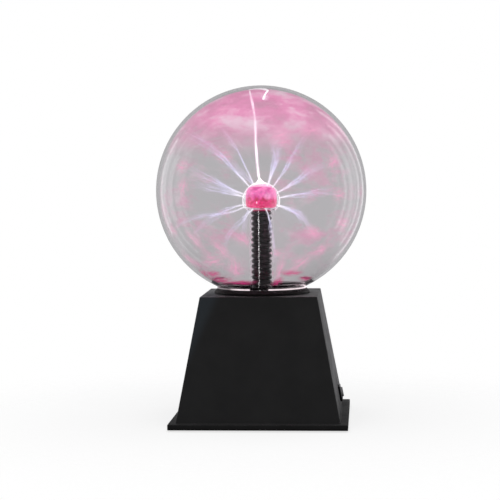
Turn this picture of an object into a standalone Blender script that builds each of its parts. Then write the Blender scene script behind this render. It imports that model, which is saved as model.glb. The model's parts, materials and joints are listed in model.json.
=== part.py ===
"""Plasma ball: a gas-filled glass globe on a black moulded base.

Frame: metres, +Z up, +X to the right, the front face towards -Y.
The origin is the centre of the footprint, at the underside of the rubber feet.
Everything is placed from the driving dimensions below.
"""

import math

import bmesh
import bpy
from mathutils import Matrix, Vector

# General
GAP = 0.0003            # play between pieces that touch
WELD = 1e-6             # distance under which two points are one
OVERRUN = 0.001         # how far cutting tools pass beyond the material

# Base: a square pyramid with its top cut off, on a thin square flange
FOOT_PROUD = 0.0015     # how far the feet hold the flange off the table
FLANGE_HALF = 0.0837
FLANGE_TOP_Z = 0.0067
BODY_BOTTOM_HALF = 0.0767
BODY_TOP_HALF = 0.05525
BODY_TOP_Z = 0.1228
BASE_WALL = 0.0025
TOP_PLATE = 0.003
EDGE_RADIUS = 0.0010    # vertical edges of the base
EDGE_CHAMFER = 0.0005   # horizontal edges of the base
EDGE_STEPS = 2
SLOPE = math.atan2(BODY_BOTTOM_HALF - BODY_TOP_HALF, BODY_TOP_Z - FLANGE_TOP_Z)

# Cover: a plate let into the underside of the flange
COVER_BOTTOM_Z = 0.0025
COVER_THICKNESS = 0.0025
COVER_TOP_Z = COVER_BOTTOM_Z + COVER_THICKNESS
COVER_HALF = 0.0757
LEDGE_Z = COVER_TOP_Z + GAP
FOOT_RADIUS = 0.008
FOOT_OFFSET = 0.050
COVER_SCREW_OFFSET = 0.066
BOSS_RADIUS = 0.0045
BOSS_TOP_Z = 0.036
PILOT_RADIUS = 0.0018
PILOT_DEPTH = 0.016
FOOT_CHAMFER = 0.0005
SCREW_HEAD = 0.0012     # height of every screw's head
SCREW_POINT = 0.001     # length of the tapered point
COVER_SCREW = (0.0140, 0.0032, 0.0015)   # length below the head, head radius, shank radius
BOARD_SCREW = (0.0062, 0.0028, 0.0015)

# Glass globe, blown with a neck that stands in the collar of the base
GLOBE_RADIUS = 0.1016
GLOBE_CENTRE_Z = 0.2215
GLASS_WALL = 0.0025
NECK_RADIUS = 0.031
NECK_FILLET = 0.010
NECK_BOTTOM_Z = 0.094
COLLAR_INNER = 0.0345
COLLAR_OUTER = 0.037
COLLAR_BOTTOM_Z = 0.100
SILICONE_Z = (0.102, 0.114)
GLOBE_SEGMENTS = 36

# Seat ring on the top face, hollowed to fit the globe, and the clear gasket on its crown
SEAT_OUTER = 0.0462
SEAT_HEIGHT = 0.0047
SEAT_LIP = 0.0016       # height of the upright outer edge
SEAT_CROWN = 0.0436     # outer radius of the flat crown
SEAT_INNER = 0.0385
SEAT_GLASS_GAP = 0.0004
GASKET_RADII = (0.0417, 0.0432)
GASKET_BREAK = math.radians(12)   # from the front or back to the ends of its two halves
GASKET_SEGMENTS = 24              # to each half

# Re-entrant glass stem: flare, tube and electrode bulb in one piece
STEM_WALL = 0.0012
STEM_RADIUS = 0.0117
BULB_RADIUS = 0.0178
BULB_CENTRE_Z = 0.2119
BULB_FLOOR_Z = 0.2030
BULB_EDGE = 0.0040      # rounding between the bulb's side and its flat underside
FLARE_TOP_Z = 0.118
FLARE_BOTTOM_Z = 0.0950
FLARE_LIP = 0.0040      # straight rim below the flare's curve
FLARE_TURN = FLARE_TOP_Z - FLARE_BOTTOM_Z - FLARE_LIP
STEM_SEGMENTS = 20
WOOL_RADIUS = 0.0125
WOOL_HALF_HEIGHT = 0.0095
WOOL_CENTRE_Z = BULB_FLOOR_Z + STEM_WALL + WOOL_HALF_HEIGHT + GAP

# Corrugated insulating sleeve inside the stem
SLEEVE_TIP = 0.0101
SLEEVE_ROOT = 0.0073
SLEEVE_BORE = 0.0035
SLEEVE_PITCH = 0.0052
SLEEVE_FLANK = 0.28     # share of the pitch taken by each sloping side of a rib
SLEEVE_LAND = 0.22      # share taken by its flat tip
SLEEVE_RIBS = 18
SLEEVE_TOP_Z = 0.2028
SLEEVE_SEGMENTS = 12

# Seal-off tip of the exhaust tube, off centre under the flare
TIP_RADIUS = 0.0030
TIP_LENGTH = 0.014
TIP_OFFSET = 0.0225
TIP_GAP = 0.0005

# Driver board on four posts of the cover
BOARD_SIZE = (0.086, 0.092, 0.0016)
BOARD_CENTRE = (-0.006, 0.020)
BOARD_BOTTOM_Z = 0.0120
BOARD_TOP_Z = BOARD_BOTTOM_Z + BOARD_SIZE[2]
POST_RADIUS = 0.0035
POST_INSET = 0.005      # from the board's edges to the posts' axes
POST_FLOOR = 0.0007     # material left above the cover under each post's pilot hole
BOARD_HOLE = 0.0018

# Flyback transformer
CORE_LEG = 0.0090       # square section of the ferrite
CORE_SPAN = 0.0270      # between the two legs' axes
CORE_BOTTOM_Z = 0.0150
CORE_HEIGHT = 0.0400
CORE_AT = (0.0, 0.010)  # axis of the leg that carries the coils
COIL_BORE = 0.0070
HV_COIL_RADIUS = 0.0145
HV_COIL_Z = (0.0325, 0.0450)
PRIMARY_RADIUS = 0.0105
PRIMARY_Z = (0.0245, 0.0318)
COIL_CHAMFER = 0.0006
HV_LEAD_RADIUS = 0.0016

# Heat sink: a comb of fins with the switching transistor on its back
SINK_AT = (0.0075, -0.0075)
SINK_FINS = 5
SINK_PITCH = 0.0045
SINK_DEPTH = 0.0120
SINK_BACK = 0.0025
SINK_HEIGHT = 0.0270
TRANSISTOR = (0.0102, 0.0046, 0.0155)    # width, thickness, height
TRANSISTOR_SHIFT = 0.005    # along the sink
TRANSISTOR_LIFT = 0.003     # above the board
TRANSISTOR_BEVEL = 0.0004

# Chips and capacitors
CHIP_PINS = 8
CHIP_PITCH = 0.00254
CHIP_HALF_WIDTH = 0.0031
CHIP_HEIGHT = 0.0034
CHIP_LIFT = 0.0008      # body's underside above the board
CHIP_SPREAD = 0.0042    # from the chip's middle to the outside of its legs
CHIP_LEG = (0.0004, 0.0018)     # half width of a leg; its top above the body's underside
CAN_CHAMFER = 0.0006
CAN_NECK = (0.0025, 0.0006, 0.0005)     # height, half height and depth of the rolled neck
FILTER_CAN_1 = ((-0.034, 0.045), 0.0050, 0.020)     # place, radius, height
FILTER_CAN_2 = ((-0.034, 0.058), 0.0040, 0.012)
FILM_CAPACITOR = ((-0.043, -0.018), (-0.035, 0.000), 0.0135, 0.0010)    # corners, height, bevel
CHIP_X = 0.004
TIMER_CHIP_Y = 0.044
AUDIO_CHIP_Y = 0.058

# Rocker switch in the right face, near the back; its frame is square to the face
SWITCH_Y = 0.028
SWITCH_Z = 0.0210
BEZEL = (0.0021, 0.0105, 0.0075)         # proud of the face, half length, half height
BEZEL_BEVEL = 0.0005
SWITCH_BODY = (0.0120, 0.0093, 0.0063)   # depth behind the face, half length, half height
ROCKER_WELL = (0.0085, 0.0079, 0.0049)   # depth behind the face, half length, half height
ROCKER_RADIUS = 0.0076
ROCKER_HALF_HEIGHT = 0.0046
ROCKER_PIVOT_DEPTH = 0.0020
ROCKER_DIP = 0.0012     # height of the rocker's middle above the face
ROCKER_BACK_ANGLE = math.radians(112)
ROCKER_THROW = math.radians(12)   # each side of centre; it is stored switched on
TRUNNION_RADIUS = 0.0011
TRUNNION_REACH = 0.0008
TERMINAL = (0.0080, 0.0008, 0.0048)      # length, thickness, width
TERMINAL_PITCH = 0.0062
SWITCH_LEAD_RADIUS = 0.0009
SWITCH_LEAD_X = 0.0265  # where the leads leave the board

# Power inlet soldered to the rear edge of the board
JACK_X = -0.020
JACK_Z = 0.0205
JACK_BODY = (0.0094, 0.0130, 0.0118)     # width, length, height
JACK_FRONT_Y = 0.0560
JACK_NOSE_RADIUS = 0.0045
JACK_NOSE_Y = 0.0730
JACK_BORE_RADIUS = 0.0032
JACK_BORE_DEPTH = 0.0115
JACK_PIN_RADIUS = 0.0010
JACK_PIN_Y = (0.0619, 0.0688)
MIC_X = 0.020
MIC_Z = 0.0205
MIC_RADIUS = 0.0048
MIC_LENGTH = 0.0065
MIC_HOLE = 0.0011
MIC_FRONT_Y = 0.0632
MIC_LEAD_RADIUS = 0.0004
MIC_LEAD_PITCH = 0.0025
SMALL_CHAMFER = 0.0003  # on the inlet's pin and the microphone's can


# ---- materials ----

def material(name, colour, roughness, metallic=0.0, transmission=0.0):
    """A Principled material with the part's own colour, roughness and metallic value."""
    made = bpy.data.materials.new(name)
    made.use_nodes = True
    shader = made.node_tree.nodes["Principled BSDF"]
    shader.inputs["Base Color"].default_value = (*colour, 1.0)
    shader.inputs["Roughness"].default_value = roughness
    shader.inputs["Metallic"].default_value = metallic
    shader.inputs["Transmission Weight"].default_value = transmission
    made.diffuse_color = (*colour, 1.0)
    made.roughness = roughness
    made.metallic = metallic
    return made


# ---- mesh helpers ----

def finish(bm, name, finish_material, smooth=None):
    """Turn a bmesh into a named object; smooth is the crease angle in degrees."""
    bmesh.ops.remove_doubles(bm, verts=bm.verts, dist=WELD)
    bmesh.ops.recalc_face_normals(bm, faces=bm.faces)
    mesh = bpy.data.meshes.new(name)
    bm.to_mesh(mesh)
    bm.free()
    made = bpy.data.objects.new(name, mesh)
    bpy.context.collection.objects.link(made)
    mesh.materials.append(finish_material)
    if smooth is not None:
        mesh.shade_smooth()
        mesh.set_sharp_from_angle(angle=math.radians(smooth))
    return made


def arc(centre_r, centre_z, radius, start, end, steps):
    """Points of an arc in the (radius, height) plane; angles in radians from +r."""
    points = []
    for i in range(steps + 1):
        a = start + (end - start) * i / steps
        points.append((centre_r + radius * math.cos(a), centre_z + radius * math.sin(a)))
    return points


def turned(name, profile, finish_material, segments, ring=False, at=(0.0, 0.0), smooth=35):
    """Spin a profile of (radius, height) points about a vertical axis through at.

    An open profile starts and ends on the axis; a ring is a closed profile clear of it.
    """
    bm = bmesh.new()
    verts = [bm.verts.new((max(r, 0.0), 0.0, z)) for r, z in profile]
    loop = list(zip(verts, verts[1:]))
    if ring:
        loop.append((verts[-1], verts[0]))
    edges = [bm.edges.new(pair) for pair in loop]
    bmesh.ops.spin(bm, geom=verts + edges, cent=(0, 0, 0), axis=(0, 0, 1),
                   angle=math.tau, steps=segments, use_duplicate=False)
    bmesh.ops.translate(bm, verts=bm.verts, vec=(at[0], at[1], 0.0))
    return finish(bm, name, finish_material, smooth)


def swept_arc(name, profile, start, end, finish_material, segments):
    """Sweep a closed (radius, height) profile between two angles from the front, and cap it."""
    bm = bmesh.new()
    rings = []
    for i in range(segments + 1):
        a = start + (end - start) * i / segments
        rings.append([bm.verts.new((r * math.sin(a), -r * math.cos(a), z)) for r, z in profile])
    for near, far in zip(rings, rings[1:]):
        for j in range(len(profile)):
            k = (j + 1) % len(profile)
            bm.faces.new((near[j], near[k], far[k], far[j]))
    bm.faces.new(rings[0])
    bm.faces.new(rings[-1])
    return finish(bm, name, finish_material, 35)


def block(name, low, high, finish_material, bevel=0.0):
    """A box between two corners, with a small bevel on its edges."""
    bm = bmesh.new()
    size = [b - a for a, b in zip(low, high)]
    middle = [(a + b) / 2 for a, b in zip(low, high)]
    place = Matrix.Translation(middle) @ Matrix.Diagonal((*size, 1.0))
    bmesh.ops.create_cube(bm, size=1.0, matrix=place)
    if bevel:
        bmesh.ops.bevel(bm, geom=bm.edges[:], offset=bevel, segments=1, affect="EDGES")
    return finish(bm, name, finish_material)


def rod(name, radius, low_z, high_z, finish_material, segments=20, at=(0.0, 0.0), bevel=0.0):
    """A vertical cylinder, with a chamfer on both rims if bevel is given."""
    profile = [(0, high_z), (radius - bevel, high_z), (radius, high_z - bevel),
               (radius, low_z + bevel), (radius - bevel, low_z), (0, low_z)]
    return turned(name, profile, finish_material, segments, at=at)


def prism(name, outline, low, high, finish_material, smooth=None):
    """Extrude an outline of (x, y) points from z = low to z = high."""
    bm = bmesh.new()
    face = bm.faces.new([bm.verts.new((x, y, low)) for x, y in outline])
    swept = bmesh.ops.extrude_face_region(bm, geom=[face])
    top = [v for v in swept["geom"] if isinstance(v, bmesh.types.BMVert)]
    bmesh.ops.translate(bm, verts=top, vec=(0, 0, high - low))
    return finish(bm, name, finish_material, smooth)


def rounded_square(half, radius):
    """Corner points of a square of half width half, with rounded corners."""
    points = []
    for quarter in range(4):
        turn = quarter * math.pi / 2
        corner = Vector((half - radius, half - radius))
        for i in range(EDGE_STEPS + 1):
            a = (math.pi / 2) * i / EDGE_STEPS
            p = corner + Vector((math.cos(a), math.sin(a))) * radius
            points.append(Matrix.Rotation(turn, 2) @ p)
    return points


def square_loft(name, profile, finish_material):
    """Loft rounded squares through (half width, height, corner radius); both ends are capped."""
    bm = bmesh.new()
    rings = []
    for half, z, radius in profile:
        rings.append([bm.verts.new((p.x, p.y, z)) for p in rounded_square(half, radius)])
    bm.faces.new(rings[0])
    bm.faces.new(rings[-1])
    for upper, lower in zip(rings, rings[1:]):
        for i in range(len(upper)):
            j = (i + 1) % len(upper)
            bm.faces.new((upper[i], upper[j], lower[j], lower[i]))
    return finish(bm, name, finish_material)


def cable(name, points, radius, finish_material, steps=3):
    """A round lead along a smooth curve through points."""
    path = smooth_path(points, steps)
    curve = bpy.data.curves.new(name, "CURVE")
    curve.dimensions = "3D"
    curve.bevel_depth = radius
    curve.bevel_resolution = 1
    curve.use_fill_caps = True
    spline = curve.splines.new("POLY")
    spline.points.add(len(path) - 1)
    for point, place in zip(spline.points, path):
        point.co = (*place, 1.0)
    curve.materials.append(finish_material)
    made = bpy.data.objects.new(name, curve)
    bpy.context.collection.objects.link(made)
    return made


def smooth_path(points, steps):
    """Catmull-Rom curve through points, with steps pieces to each span."""
    p = [Vector(q) for q in points]
    p = [2 * p[0] - p[1]] + p + [2 * p[-1] - p[-2]]
    path = []
    for a, b, c, d in zip(p, p[1:], p[2:], p[3:]):
        for i in range(steps):
            t = i / steps
            path.append(0.5 * (2 * b + (c - a) * t + (2 * a - 5 * b + 4 * c - d) * t ** 2
                               + (3 * b - a - 3 * c + d) * t ** 3))
    path.append(p[-2])
    return path


def boolean(target, tool, operation):
    """Cut or join a tool object; the tool stays as a wire guide."""
    tool.hide_render = True
    tool.display_type = "WIRE"
    step = target.modifiers.new(tool.name, "BOOLEAN")
    step.operation = operation
    step.solver = "EXACT"
    step.object = tool


def cut(target, tool):
    boolean(target, tool, "DIFFERENCE")


def join(target, tool):
    boolean(target, tool, "UNION")


def hang_on(parent, *pieces):
    """Parent pieces whose meshes are drawn in the parent's own frame."""
    for piece in pieces:
        piece.parent = parent


def facing_back(x, z):
    """The placing that lays an upright piece level at (x, z), pointing to the back."""
    return Matrix.Translation((x, 0, z)) @ Matrix.Rotation(-math.pi / 2, 4, "X")


def corners(offset):
    """The four corners of a square of half width offset, anticlockwise from +X +Y."""
    return [(offset, offset), (-offset, offset), (-offset, -offset), (offset, -offset)]


# ---- glass ----

def globe_profile(wall):
    """Half section of the globe and neck, moved in from the outside by wall, pole to rim."""
    reach = NECK_RADIUS + NECK_FILLET
    drop = math.sqrt((GLOBE_RADIUS + NECK_FILLET) ** 2 - reach ** 2)
    fillet_z = GLOBE_CENTRE_Z - drop
    meet = math.atan2(-drop, reach)
    upper = arc(0, GLOBE_CENTRE_Z, GLOBE_RADIUS - wall, math.pi / 2, 0, 7)
    lower = arc(0, GLOBE_CENTRE_Z, GLOBE_RADIUS - wall, 0, meet, 6)
    fillet = arc(reach, fillet_z, NECK_FILLET + wall, meet + math.pi, math.pi, 3)
    return upper + lower[1:] + fillet[1:] + [(NECK_RADIUS - wall, NECK_BOTTOM_Z)]


def glass_globe(glass):
    """The blown globe, open at the bottom of its neck."""
    outside = globe_profile(0.0)
    inside = globe_profile(GLASS_WALL)
    return turned("glass_globe", outside + inside[::-1], glass, GLOBE_SEGMENTS)


def stem_profile(wall):
    """Half section of bulb, tube and flare, moved in from the gas side by wall."""
    radius = BULB_RADIUS - wall
    floor_z = BULB_FLOOR_Z + wall
    edge = BULB_EDGE - wall
    edge_z = floor_z + edge
    edge_r = math.sqrt((radius - edge) ** 2 - (BULB_CENTRE_Z - edge_z) ** 2)
    meet = math.atan2(edge_z - BULB_CENTRE_Z, edge_r)
    tube = STEM_RADIUS - wall
    rim = NECK_RADIUS - GLASS_WALL - GAP - wall
    bulb = arc(0, BULB_CENTRE_Z, radius, math.pi / 2, meet, 7)
    turn_in = arc(edge_r, edge_z, edge, meet, -math.pi / 2, 2)
    tube_top = [(tube, floor_z)]
    flare = arc(tube + FLARE_TURN, FLARE_TOP_Z, FLARE_TURN, math.pi, math.pi * 1.5, 4)
    flare = [(min(r, rim), z - wall) for r, z in flare]
    return bulb + turn_in[1:] + tube_top + flare + [(rim, FLARE_BOTTOM_Z)]


def glass_stem(glass):
    """The re-entrant stem sealed into the neck; its inside is open to the air below."""
    outside = stem_profile(0.0)
    inside = stem_profile(STEM_WALL)
    return turned("glass_stem", outside + inside[::-1], glass, STEM_SEGMENTS)


def exhaust_tip(glass):
    """The closed stub left where the globe was pumped out and filled."""
    across = STEM_RADIUS - STEM_WALL + FLARE_TURN - TIP_OFFSET - TIP_RADIUS
    top = FLARE_TOP_Z - math.sqrt(FLARE_TURN ** 2 - across ** 2) - STEM_WALL - TIP_GAP
    nose = arc(0, top - TIP_LENGTH + TIP_RADIUS, TIP_RADIUS, 0, -math.pi / 2, 3)
    return turned("exhaust_tip", [(0, top), (TIP_RADIUS, top)] + nose, glass, 12, at=(TIP_OFFSET, 0.0))


def electrode_wool(metal):
    """The ball of fine wire wool that couples the high voltage to the bulb."""
    half = arc(0, 0, 1.0, math.pi / 2, -math.pi / 2, 6)
    profile = [(r * WOOL_RADIUS, WOOL_CENTRE_Z + z * WOOL_HALF_HEIGHT) for r, z in half]
    return turned("electrode_wool", profile, metal, 16)


def stem_sleeve(plastic):
    """Corrugated insulating sleeve: one rib to each pitch."""
    flank = SLEEVE_PITCH * SLEEVE_FLANK
    land = SLEEVE_PITCH * SLEEVE_LAND
    profile = []
    for i in range(SLEEVE_RIBS):
        top = SLEEVE_TOP_Z - i * SLEEVE_PITCH
        profile += [(SLEEVE_ROOT, top), (SLEEVE_TIP, top - flank), (SLEEVE_TIP, top - flank - land),
                    (SLEEVE_ROOT, top - 2 * flank - land)]
    bottom = SLEEVE_TOP_Z - SLEEVE_RIBS * SLEEVE_PITCH
    profile += [(SLEEVE_ROOT, bottom), (SLEEVE_BORE, bottom), (SLEEVE_BORE, SLEEVE_TOP_Z)]
    return turned("stem_sleeve", profile, plastic, SLEEVE_SEGMENTS, ring=True)


# ---- base ----

def wall_half(z, inset=0.0):
    """Half width of the body's sloping faces at height z, moved in square to them by inset."""
    return BODY_BOTTOM_HALF - math.tan(SLOPE) * (z - FLANGE_TOP_Z) - inset / math.cos(SLOPE)


def base_housing(plastic):
    """The moulded body with its flange, collar for the neck and four screw bosses."""
    c = EDGE_CHAMFER
    r = EDGE_RADIUS
    ceiling = BODY_TOP_Z - TOP_PLATE
    recess = COVER_HALF + GAP
    shell = square_loft("base_housing", [
        (BODY_TOP_HALF - c, BODY_TOP_Z, r),
        (wall_half(BODY_TOP_Z - c), BODY_TOP_Z - c, r),
        (wall_half(FLANGE_TOP_Z + c), FLANGE_TOP_Z + c, r),
        (BODY_BOTTOM_HALF + c, FLANGE_TOP_Z, r),
        (FLANGE_HALF - c, FLANGE_TOP_Z, r),
        (FLANGE_HALF, FLANGE_TOP_Z - c, r),
        (FLANGE_HALF, FOOT_PROUD, r),
        (recess, FOOT_PROUD, r),
        (recess, LEDGE_Z, r),
        (wall_half(LEDGE_Z, BASE_WALL), LEDGE_Z, r),
        (wall_half(ceiling, BASE_WALL), ceiling, r),
    ], plastic)
    collar = turned("collar_tool", [
        (COLLAR_INNER, ceiling + OVERRUN), (COLLAR_OUTER, ceiling + OVERRUN),
        (COLLAR_OUTER, COLLAR_BOTTOM_Z), (COLLAR_INNER, COLLAR_BOTTOM_Z),
    ], plastic, GLOBE_SEGMENTS, ring=True)
    join(shell, collar)
    cut(shell, rod("neck_hole_tool", COLLAR_INNER, ceiling - OVERRUN, BODY_TOP_Z + OVERRUN, plastic,
                   GLOBE_SEGMENTS))
    for number, place in enumerate(corners(COVER_SCREW_OFFSET), 1):
        join(shell, rod(f"boss_tool_{number}", BOSS_RADIUS, LEDGE_Z, BOSS_TOP_Z, plastic, 16, place))
        cut(shell, rod(f"pilot_tool_{number}", PILOT_RADIUS, LEDGE_Z - OVERRUN, LEDGE_Z + PILOT_DEPTH,
                       plastic, 12, place))
    cut(shell, switch_cutout(plastic))
    cut(shell, rear_hole("jack_hole_tool", JACK_X, JACK_Z, JACK_NOSE_RADIUS + GAP, plastic))
    cut(shell, rear_hole("mic_hole_tool", MIC_X, MIC_Z, MIC_HOLE, plastic))
    return shell


def rear_hole(name, x, z, radius, plastic):
    """A level round tool through the rear wall."""
    reach = 0.012
    tool = rod(name, radius, -reach, reach, plastic)
    tool.rotation_euler = (math.pi / 2, 0, 0)
    tool.location = (x, wall_half(z), z)
    return tool


def switch_frame(name):
    """An empty on the right face: local +X out of the face, +Z up its slope."""
    frame = bpy.data.objects.new(name, None)
    frame.empty_display_size = 0.01
    frame.location = (wall_half(SWITCH_Z), SWITCH_Y, SWITCH_Z)
    frame.rotation_euler = (0, -SLOPE, 0)
    bpy.context.collection.objects.link(frame)
    return frame


def switch_cutout(plastic):
    """The rectangular hole that the switch snaps into."""
    y = SWITCH_BODY[1] + GAP
    z = SWITCH_BODY[2] + GAP
    reach = 2 * BASE_WALL
    tool = block("switch_hole_tool", (-reach, -y, -z), (reach, y, z), plastic)
    hang_on(switch_frame("switch_hole_frame"), tool)
    return tool


def base_cover(plastic):
    """The plate under the base, with posts for the board and holes for its screws."""
    plate = square_loft("base_cover", [
        (COVER_HALF, COVER_TOP_Z, EDGE_RADIUS),
        (COVER_HALF, COVER_BOTTOM_Z, EDGE_RADIUS),
    ], plastic)
    for number, place in enumerate(post_places(), 1):
        join(plate, rod(f"post_tool_{number}", POST_RADIUS, COVER_TOP_Z - OVERRUN, BOARD_BOTTOM_Z - GAP,
                        plastic, 14, place))
        cut(plate, rod(f"post_pilot_tool_{number}", BOARD_HOLE, COVER_TOP_Z + POST_FLOOR, BOARD_TOP_Z,
                       plastic, 10, place))
    for number, place in enumerate(corners(COVER_SCREW_OFFSET), 1):
        cut(plate, rod(f"screw_hole_tool_{number}", PILOT_RADIUS, COVER_BOTTOM_Z - OVERRUN,
                       COVER_TOP_Z + OVERRUN, plastic, 12, place))
    return plate


def globe_seat_ring(rubber):
    """Black ring on the top face, hollowed on its inner side to the globe's curve."""
    bottom = BODY_TOP_Z + GAP
    top = BODY_TOP_Z + SEAT_HEIGHT
    radius = GLOBE_RADIUS + SEAT_GLASS_GAP
    inner_start = -math.acos(SEAT_INNER / radius)
    inner_end = math.asin((top - GLOBE_CENTRE_Z) / radius)
    hollow = arc(0, GLOBE_CENTRE_Z, radius, inner_start, inner_end, 2)
    outside = [(SEAT_OUTER, bottom + SEAT_LIP), (SEAT_OUTER, bottom), (SEAT_INNER, bottom)]
    profile = outside + hollow + [(SEAT_CROWN, top)]
    return turned("globe_seat_ring", profile, rubber, GLOBE_SEGMENTS, ring=True)


def seat_gasket(silicone):
    """Clear gasket in two halves between the crown of the seat ring and the globe."""
    bottom = BODY_TOP_Z + SEAT_HEIGHT + GAP
    radius = GLOBE_RADIUS + SEAT_GLASS_GAP
    crown = [(r, GLOBE_CENTRE_Z - math.sqrt(radius ** 2 - r ** 2)) for r in GASKET_RADII]
    inner, outer = GASKET_RADII
    profile = crown + [(outer, bottom), (inner, bottom)]
    for name, side in (("seat_gasket_left", -1), ("seat_gasket_right", 1)):
        swept_arc(name, profile, side * GASKET_BREAK, side * (math.pi - GASKET_BREAK), silicone,
                  GASKET_SEGMENTS)


def neck_silicone(silicone):
    """The bead of silicone that holds the neck in the collar."""
    inner = NECK_RADIUS + GAP
    outer = COLLAR_INNER - GAP
    low, high = SILICONE_Z
    profile = [(inner, high), (outer, high), (outer, low), (inner, low)]
    return turned("neck_silicone", profile, silicone, GLOBE_SEGMENTS, ring=True)


def screw(name, place, head_low, sizes, steel):
    """A pan-head screw pointing up, with a cross recess in its head."""
    length, head_radius, shank_radius = sizes
    x, y = place
    head_top = head_low + SCREW_HEAD
    point = head_top + length
    profile = [(0, point), (shank_radius / 2, point), (shank_radius, point - SCREW_POINT),
               (shank_radius, head_top), (head_radius, head_top), (head_radius, head_low + SCREW_HEAD / 2),
               (head_radius * 0.7, head_low), (0, head_low)]
    made = turned(name, profile, steel, 12, at=place)
    arm = head_radius * 0.55
    width = head_radius * 0.12
    quarter = [(arm, width), (width, width), (width, arm)]
    outline = []
    for turn in range(4):
        spin = Matrix.Rotation(turn * math.pi / 2, 2)
        outline += [spin @ Vector(corner) + Vector((x, y)) for corner in quarter]
    recess = prism(name + "_recess_tool", outline, head_low - OVERRUN, head_low + SCREW_HEAD * 0.6, steel)
    cut(made, recess)
    return made


# ---- electronics ----

def post_places():
    """Where the four board posts stand."""
    half_x = BOARD_SIZE[0] / 2 - POST_INSET
    half_y = BOARD_SIZE[1] / 2 - POST_INSET
    return [(BOARD_CENTRE[0] + sx * half_x, BOARD_CENTRE[1] + sy * half_y)
            for sx, sy in ((1, 1), (-1, 1), (-1, -1), (1, -1))]


def driver_board(laminate):
    """The circuit board, with its four fixing holes."""
    x, y = BOARD_CENTRE
    half_x = BOARD_SIZE[0] / 2
    half_y = BOARD_SIZE[1] / 2
    low = (x - half_x, y - half_y, BOARD_BOTTOM_Z)
    high = (x + half_x, y + half_y, BOARD_TOP_Z)
    board = block("driver_board", low, high, laminate)
    for number, place in enumerate(post_places(), 1):
        cut(board, rod(f"board_hole_tool_{number}", BOARD_HOLE, BOARD_BOTTOM_Z - OVERRUN,
                       BOARD_TOP_Z + OVERRUN, laminate, 10, place))
    return board


def flyback_cores(ferrite):
    """Two U-shaped ferrite halves; one pair of legs carries the coils."""
    x, y = CORE_AT
    half = CORE_LEG / 2
    far = x - CORE_SPAN
    outline = [(far - half, 0), (x + half, 0), (x + half, CORE_HEIGHT / 2), (x - half, CORE_HEIGHT / 2),
               (x - half, CORE_LEG), (far + half, CORE_LEG), (far + half, CORE_HEIGHT / 2),
               (far - half, CORE_HEIGHT / 2)]
    middle = CORE_BOTTOM_Z + CORE_HEIGHT / 2
    for name, side in (("flyback_core_lower", -1), ("flyback_core_upper", 1)):
        core = prism(name, outline, -half, half, ferrite)
        core.rotation_euler = (math.pi / 2 if side < 0 else -math.pi / 2, 0, 0)
        core.location = (0, y, middle + side * (CORE_HEIGHT / 2 + GAP / 2))


def coil(name, radius, span, finish_material, segments):
    """A wound coil on the flyback's working leg."""
    low, high = span
    c = COIL_CHAMFER
    profile = [(COIL_BORE, high), (radius - c, high), (radius, high - c), (radius, low + c),
               (radius - c, low), (COIL_BORE, low)]
    return turned(name, profile, finish_material, segments, ring=True, at=CORE_AT)


def heat_sink(aluminium):
    """An upright comb of fins."""
    x, y = SINK_AT
    outline = [(x, y), (x + SINK_FINS * SINK_PITCH - SINK_PITCH / 2, y)]
    for i in reversed(range(SINK_FINS)):
        left = x + i * SINK_PITCH
        right = left + SINK_PITCH / 2
        outline += [(right, y - SINK_DEPTH), (left, y - SINK_DEPTH)]
        if i:
            outline += [(left, y - SINK_BACK), (left - SINK_PITCH / 2, y - SINK_BACK)]
    return prism("heat_sink", outline, BOARD_TOP_Z + GAP, BOARD_TOP_Z + SINK_HEIGHT, aluminium)


def power_transistor(epoxy):
    """The switching transistor, flat against the heat sink."""
    x = SINK_AT[0] + TRANSISTOR_SHIFT
    y = SINK_AT[1] + GAP
    z = BOARD_TOP_Z + TRANSISTOR_LIFT
    width, thickness, height = TRANSISTOR
    high = (x + width, y + thickness, z + height)
    return block("power_transistor", (x, y, z), high, epoxy, TRANSISTOR_BEVEL)


def chip(name, y, epoxy):
    """A dual-in-line chip with its legs bent down to the board."""
    half_length = CHIP_PINS / 4 * CHIP_PITCH
    low = BOARD_TOP_Z + CHIP_LIFT
    body = block(name, (CHIP_X - CHIP_HALF_WIDTH, y - half_length, low),
                 (CHIP_X + CHIP_HALF_WIDTH, y + half_length, low + CHIP_HEIGHT), epoxy)
    half, rise = CHIP_LEG
    for number in range(CHIP_PINS // 2):
        leg_y = y - half_length + CHIP_PITCH * (number + 0.5)
        foot = (CHIP_X - CHIP_SPREAD, leg_y - half, BOARD_TOP_Z + GAP)
        knee = (CHIP_X + CHIP_SPREAD, leg_y + half, low + rise)
        join(body, block(f"{name}_leg_tool_{number}", foot, knee, epoxy))
    return body


def electrolytic(name, sizes, film):
    """An upright electrolytic capacitor with its rolled neck."""
    place, radius, height = sizes
    low = BOARD_TOP_Z + GAP
    high = low + height
    neck_height, half, depth = CAN_NECK
    neck = low + neck_height
    profile = [(0, high), (radius - CAN_CHAMFER, high), (radius, high - CAN_CHAMFER),
               (radius, neck), (radius - depth, neck - half), (radius, neck - 2 * half),
               (radius, low), (0, low)]
    return turned(name, profile, film, 14, at=place)


def film_capacitor(polyester):
    """The dipped film capacitor by the board's front edge."""
    near, far, height, bevel = FILM_CAPACITOR
    block("film_capacitor", (*near, BOARD_TOP_Z + GAP), (*far, BOARD_TOP_Z + height), polyester, bevel)


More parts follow.
